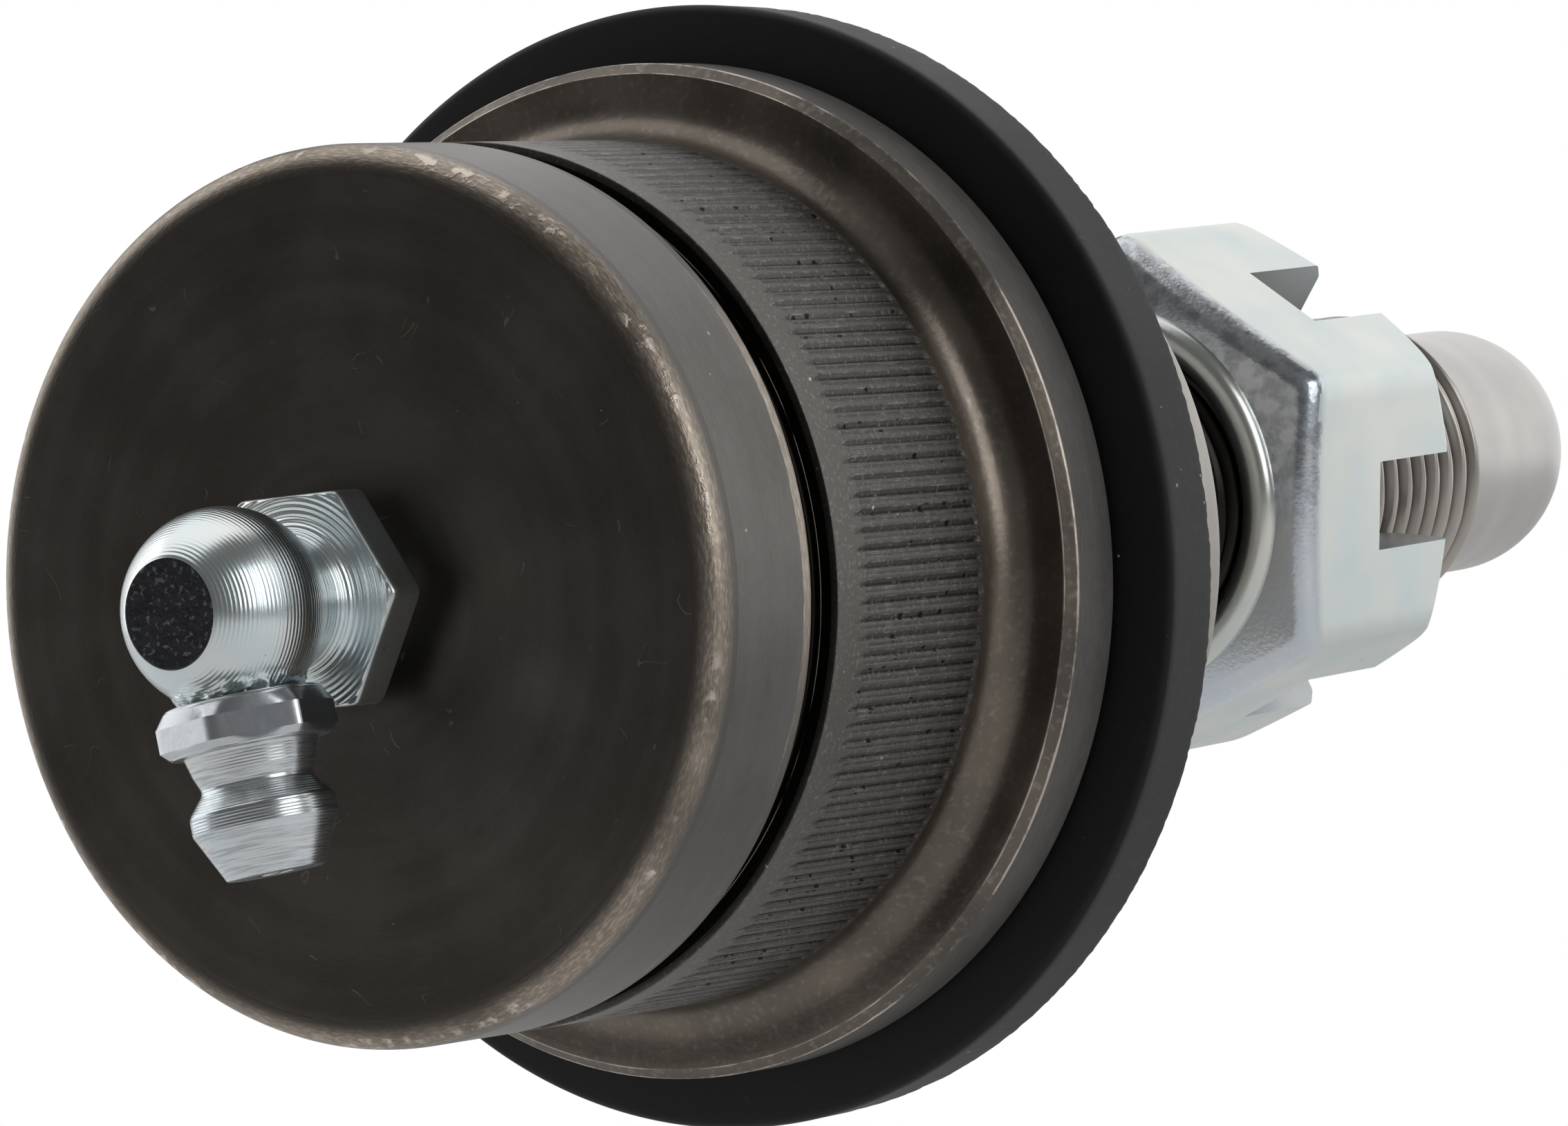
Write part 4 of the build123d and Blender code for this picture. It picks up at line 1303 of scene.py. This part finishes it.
def make_nut():
    """Slotted nut: a hexagon with a bevelled seat and crown, then three slots right across."""
    count = 384
    mesh = bmesh.new()
    mesh.verts.layers.float.new("edge")
    run = mesh.verts.layers.float.new("run")
    columns = []
    bore = nut_bore()[1:-1]
    for i in range(count):
        turn = TURN * i / count
        reach = soft_min(
            2 * NUT_FLAT_R / math.sqrt(3) - 0.1, hex_reach(math.degrees(turn), NUT_FLAT_R, NUT_TURN), 0.5
        )
        column = []
        for r, y, edge in nut_outline(reach) + bore:
            column.append(mesh.verts.new((r * math.sin(turn) * MM, y * MM, r * math.cos(turn) * MM)))
            column[-1][run] = r
        columns.append(column)
    for here, beside in zip(columns, columns[1:] + columns[:1]):
        for k in range(len(here)):
            after = (k + 1) % len(here)
            add_face(mesh, [here[k], beside[k], beside[after], here[after]], 0)
    bmesh.ops.recalc_face_normals(mesh, faces=mesh.faces)
    mesh.normal_update()
    for face in mesh.faces:
        middle = face.calc_center_median() / MM
        r = math.hypot(middle.x, middle.z)
        if face.normal.y < -0.3 and r > NUT_WASHER_R:
            face.material_index = 1
        # index 4: the bore and countersink, painted near-black as shade
        elif middle.y < NUT_SEAT + 2 and r < WASHER_FACE_START:
            face.material_index = 4
        elif middle.y < NUT_SEAT + 1 and r < NUT_WASHER_R:
            face.material_index = 3
    body = to_object("castle_nut", mesh, 30)
    cut_slots(body)
    for finish in (
        zinc_plate("nut zinc", (0.68, 0.70, 0.67, 1), STUD_PLACE, 0.42, speck=0.02),
        zinc_plate(
            "nut bevel zinc", (0.68, 0.71, 0.74, 1), STUD_PLACE, 0.24, grain=1.3e-5, fine=4600.0, mottled=0.34,
            bright=0.25, blotched_above=-3.0,
        ),
        zinc_plate("slot painted shade zinc", (0.48, 0.49, 0.49, 1), STUD_PLACE, 0.42),
        zinc_plate("washer face zinc", (0.72, 0.72, 0.67, 1), STUD_PLACE, 0.26, grain=6.0e-6),
        zinc_plate("nut bore painted shade", (0.03, 0.035, 0.04, 1), STUD_PLACE, 0.5),
    ):
        body.data.materials.append(finish)
    body.data.transform(STUD_PLACE)
    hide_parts("castle_nut")
    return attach(body, "nut")


def make_elbow():
    """Turned elbow: hexagon, neck and ball with a flat end; the ball is faced for the nipple."""
    corner_r = 2 * HEX_FLAT_R / math.sqrt(3)
    tip_r = math.sqrt(ELBOW_BALL_R**2 - (ELBOW_Y - ELBOW_TIP) ** 2)
    tip_angle = -math.degrees(math.atan2(ELBOW_Y - ELBOW_TIP, tip_r))
    neck_angle = math.degrees(math.acos(ELBOW_NECK_R / ELBOW_BALL_R))
    ball = arc(0, ELBOW_Y, ELBOW_BALL_R, tip_angle, neck_angle, 60)
    shank = soften(
        [
            ball[-1],
            (ELBOW_NECK_R, HEX_FRONT, 0.9),
            (corner_r, HEX_FRONT, 0.22),
            (corner_r, HEX_BACK, 0.1),
            (3.2, HEX_BACK, 0.1),
            (3.2, HEX_BACK + 4.6, 0.2),
            (0.0, HEX_BACK + 4.6, 0),
        ]
    )
    face = [(0.0, ELBOW_TIP, 0.0), (tip_r * 0.5, ELBOW_TIP, 0.0), (tip_r - 0.08, ELBOW_TIP, 0.0)]
    piece = turned("fitting_elbow", [(face + ball + shank[1:], 192)], elbow_zone)
    squeeze_to_hex(piece, HEX_FRONT, HEX_BACK, 4.0, corner_r, HEX_FLAT_R, HEX_TURN, 0.2)
    centre = Vector((0, ELBOW_Y * MM, 0))
    for v in piece.data.vertices:
        out = (v.co - centre).dot(NIPPLE_AXIS) / MM
        if v.co.y > (HEX_FRONT - 0.5) * MM or out < 3.3:
            continue
        v.co -= NIPPLE_AXIS * max(0.0, out - NIPPLE_SEAT) * MM
        aside = v.co - centre - NIPPLE_AXIS * (v.co - centre).dot(NIPPLE_AXIS)
        crumple = noise.noise(v.co * 1500) + 0.6 * noise.noise(v.co * 4000)
        lip = min(1.0, (out - 3.3) / 0.5) * (0.3 + 0.35 * crumple)
        if aside.length > 1.9 * MM:
            v.co += aside.normalized() * lip * MM
    zinc = (0.80, 0.83, 0.82, 1)
    for finish in (
        zinc_plate("elbow zinc", zinc, UPRIGHT, 0.24, spacing=0.2, feed=9.0e-6),
        # the flat tip face is painted near-black, standing in for the dark reflection it shows
        zinc_plate(
            "elbow tip zinc painted dark", (0.085, 0.085, 0.095, 1), UPRIGHT, 0.25, grain=2.0e-5, fine=3500.0, mottled=0.5,
            bright=0.25,
        ),
        # the hexagon's sides are a darker copy of the elbow zinc, painted shade; bright paints a highlight
        # along their rounded edges
        zinc_plate(
            "elbow hexagon zinc painted darker", (0.55, 0.56, 0.54, 1), UPRIGHT, 0.34, grain=1.2e-5, fine=2500.0, bright=0.12,
        ),
        zinc_plate("elbow face zinc", zinc, UPRIGHT, 0.26, spacing=0.27, feed=3.0e-5),
    ):
        piece.data.materials.append(finish)
    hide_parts("fitting_elbow")
    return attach(piece, "housing_body")


def elbow_zone(r, y):
    """Index of a finish in make_elbow's list."""
    # 1: the flat tip face, painted near-black
    if y < ELBOW_TIP + 0.005:
        return 1
    if HEX_FRONT + 0.05 < y < HEX_BACK - 0.05 and r > 4:
        return 2
    # 3: the hexagon's front face, with its rounded front edge kept in this brighter zinc as a painted
    #    highlight
    if HEX_FRONT - 0.9 < y < HEX_FRONT + 0.21 and r > ELBOW_NECK_R + 0.02:
        return 3
    return 0


def nipple_zone(r, y):
    """0 for the nipple, 1 for its hexagon."""
    return 1 if r > 3.55 and y < NIPPLE_SEAT + 2.1 else 0


def make_nipple():
    corner_r = 2 * NIPPLE_FLAT_R / math.sqrt(3)
    end = NIPPLE_SEAT + 2.2
    collar = soften(
        [
            (NIPPLE_STEM_R, NIPPLE_STEM_START, 0),
            (NIPPLE_STEM_R, NIPPLE_SEAT, 0.1),
            (NIPPLE_FLAT_R - 0.1, NIPPLE_SEAT, 0.1),
            (corner_r, NIPPLE_SEAT + 0.75, 0.2),
        ]
    )
    sides = rows(corner_r, NIPPLE_SEAT + 0.8, end - 0.5, 0.06)
    neck = soften(
        [
            (corner_r, end - 0.4, 0),
            (NIPPLE_FLAT_R, end, 0.12),
            (3.0, end, 0.12),
            (2.75, end + 0.9, 0.2),
            (NIPPLE_WAIST_R, 7.75, 0.4),
            (NIPPLE_HEAD_R, 8.75, 0.55),
            (NIPPLE_HEAD_R, 9.55, 0.18),
            (2.15, NIPPLE_TIP, 0.12),
            (0.8, NIPPLE_TIP, 0.06),
            (0.8, 11.3, 0),
        ],
        7,
    )
    inside = [
        (NIPPLE_BORE_R, 10.9, 0.0),
        (NIPPLE_BORE_R, CHECK_SPRING_SEAT, 0.0),
        (NIPPLE_PASSAGE_R, CHECK_SPRING_SEAT, 0.0),
        (NIPPLE_PASSAGE_R, NIPPLE_STEM_START, 0.0),
    ]
    piece = turned("grease_nipple", [(collar + sides + neck + inside, 192)], nipple_zone, closed=True)
    hex_cap(piece, NIPPLE_SEAT + 0.02, end + 0.02, NIPPLE_FLAT_R, NIPPLE_HEX_TURN, 0.2)
    piece.data.transform(NIPPLE_PLACE)
    zinc = (0.78, 0.81, 0.82, 1)
    piece.data.materials.append(
        zinc_plate(
            "nipple zinc", zinc, NIPPLE_PLACE, 0.26, spacing=0.14, feed=9.0e-6, grain=8.0e-6, lined=0.4,
        )
    )
    # bright paints a highlight along the hexagon's rounded edges
    piece.data.materials.append(
        zinc_plate("nipple hexagon zinc", (0.62, 0.65, 0.68, 1), NIPPLE_PLACE, 0.26, grain=1.0e-5, bright=0.2)
    )
    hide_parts("grease_nipple")
    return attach(piece, "housing_body")


def finish_inner_pieces():
    inner = {
        "cover_ring": ("cover steel", grey(0.35, 0.02), 1.0, 0.4),
        "upper_bearing": ("bearing polymer", grey(0.75, 0.05), 0.0, 0.5),
        "lower_bearing": ("bearing polymer", grey(0.75, 0.05), 0.0, 0.5),
        "preload_spring": ("spring steel", grey(0.12), 1.0, 0.4),
        "boot_base_ring": ("insert steel", grey(0.4), 1.0, 0.4),
        "nipple_check_ball": ("check ball steel", grey(0.6), 1.0, 0.2),
        "nipple_check_spring": ("check spring steel", grey(0.5), 1.0, 0.3),
    }
    made = {}
    for node, (name, colour, metallic, roughness) in inner.items():
        if name not in made:
            made[name] = plain_finish(name, colour, metallic, roughness)
        data = frame["nodes"][node].data
        data.materials.clear()
        data.materials.append(made[name])


def make_check_spring():
    """The small coil under the check ball, which in the real fitting shortens as a grease gun pushes the ball
    in; here a copy of its node's mesh, carried by the housing body.
    """
    node = frame["nodes"]["nipple_check_spring"]
    piece = bpy.data.objects.new("nipple_check_spring", node.data.copy())
    piece.data.transform(node.matrix_world)
    bpy.context.collection.objects.link(piece)
    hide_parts("nipple_check_spring")
    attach(piece, "housing_body")
    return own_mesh(piece)


# ======================================================================
# Stage, light and camera
# ======================================================================
def softbox(name, direction, distance, width, height, glow, target=(0, 0.02, 0)):
    """Area lamp facing the part from a distance; glow 1 looks white in a mirror."""
    lamp = bpy.data.lights.new(name, "AREA")
    lamp.shape = "RECTANGLE"
    lamp.size = width
    lamp.size_y = height
    lamp.energy = glow * math.pi * width * height
    holder = bpy.data.objects.new(name, lamp)
    bpy.context.scene.collection.objects.link(holder)
    way = Vector(direction).normalized()
    holder.location = Vector(target) + way * distance
    holder.rotation_euler = (-way).to_track_quat("-Z", "Y").to_euler()
    holder.visible_camera = False
    return holder


def make_stage():
    mesh = bmesh.new()
    bmesh.ops.create_grid(mesh, x_segments=1, y_segments=1, size=3.0)
    floor = to_object("floor", mesh)
    floor.location = (0, 0, -0.12)
    finish = bpy.data.materials.new("pale floor")
    finish.use_nodes = True
    tree = finish.node_tree
    tree.nodes.clear()
    seen = add(tree, "ShaderNodeEmission", {"Color": grey(1.0), "Strength": 1.0})
    lit = add(tree, "ShaderNodeBsdfDiffuse", {"Color": grey(0.8)})
    path = add(tree, "ShaderNodeLightPath")
    both = add(
        tree, "ShaderNodeMixShader", {0: path.outputs["Is Camera Ray"], 1: lit.outputs[0], 2: seen.outputs[0]}
    )
    add(tree, "ShaderNodeOutputMaterial", {"Surface": both.outputs[0]})
    floor.data.materials.append(finish)


def make_world():
    world = bpy.data.worlds.new("studio")
    bpy.context.scene.world = world
    world.use_nodes = True
    tree = world.node_tree
    tree.nodes.clear()
    path = add(tree, "ShaderNodeLightPath")
    strength = calc(tree, "MULTIPLY_ADD", path.outputs["Is Camera Ray"], 0.88, 0.12)
    sky = add(tree, "ShaderNodeBackground", {"Color": grey(1.0), "Strength": strength})
    add(tree, "ShaderNodeOutputWorld", {"Surface": sky.outputs[0]})


def make_camera():
    data = bpy.data.cameras.new("camera")
    data.sensor_width = 36.0
    data.lens = 190.48
    data.clip_start = 0.01
    camera = bpy.data.objects.new("camera", data)
    bpy.context.scene.collection.objects.link(camera)
    right = Vector((0.822382, 0.568237, -0.028209))
    up = Vector((0.0, 0.049581, 0.998770))
    back = Vector((0.56894, -0.82137, 0.040774))
    turn = Matrix((right, up, back)).transposed().to_4x4()
    camera.matrix_world = Matrix.Translation(Vector((226.1, -314.9, 16.1)) * MM) @ turn
    bpy.context.scene.camera = camera


def make_lights():
    softbox("right softbox", (0.88, -0.2, 0.42), 0.8, 0.42, 0.6, 2.3)
    softbox("top softbox", (-0.4, 0.1, 0.9), 0.8, 1.1, 0.9, 0.9)
    softbox("backdrop", (0.25, 0.95, 0.2), 1.0, 2.4, 1.9, 1.05)
    softbox("left softbox", (-1.0, -0.05, 0.15), 0.8, 0.8, 0.9, 1.1)


bpy.context.scene.view_settings.view_transform = "Standard"
make_camera()
make_world()
make_stage()
make_lights()
make_housing()
make_boot()
make_top_ring()
make_stud()
make_nut()
make_elbow()
make_nipple()
finish_inner_pieces()
make_check_spring()
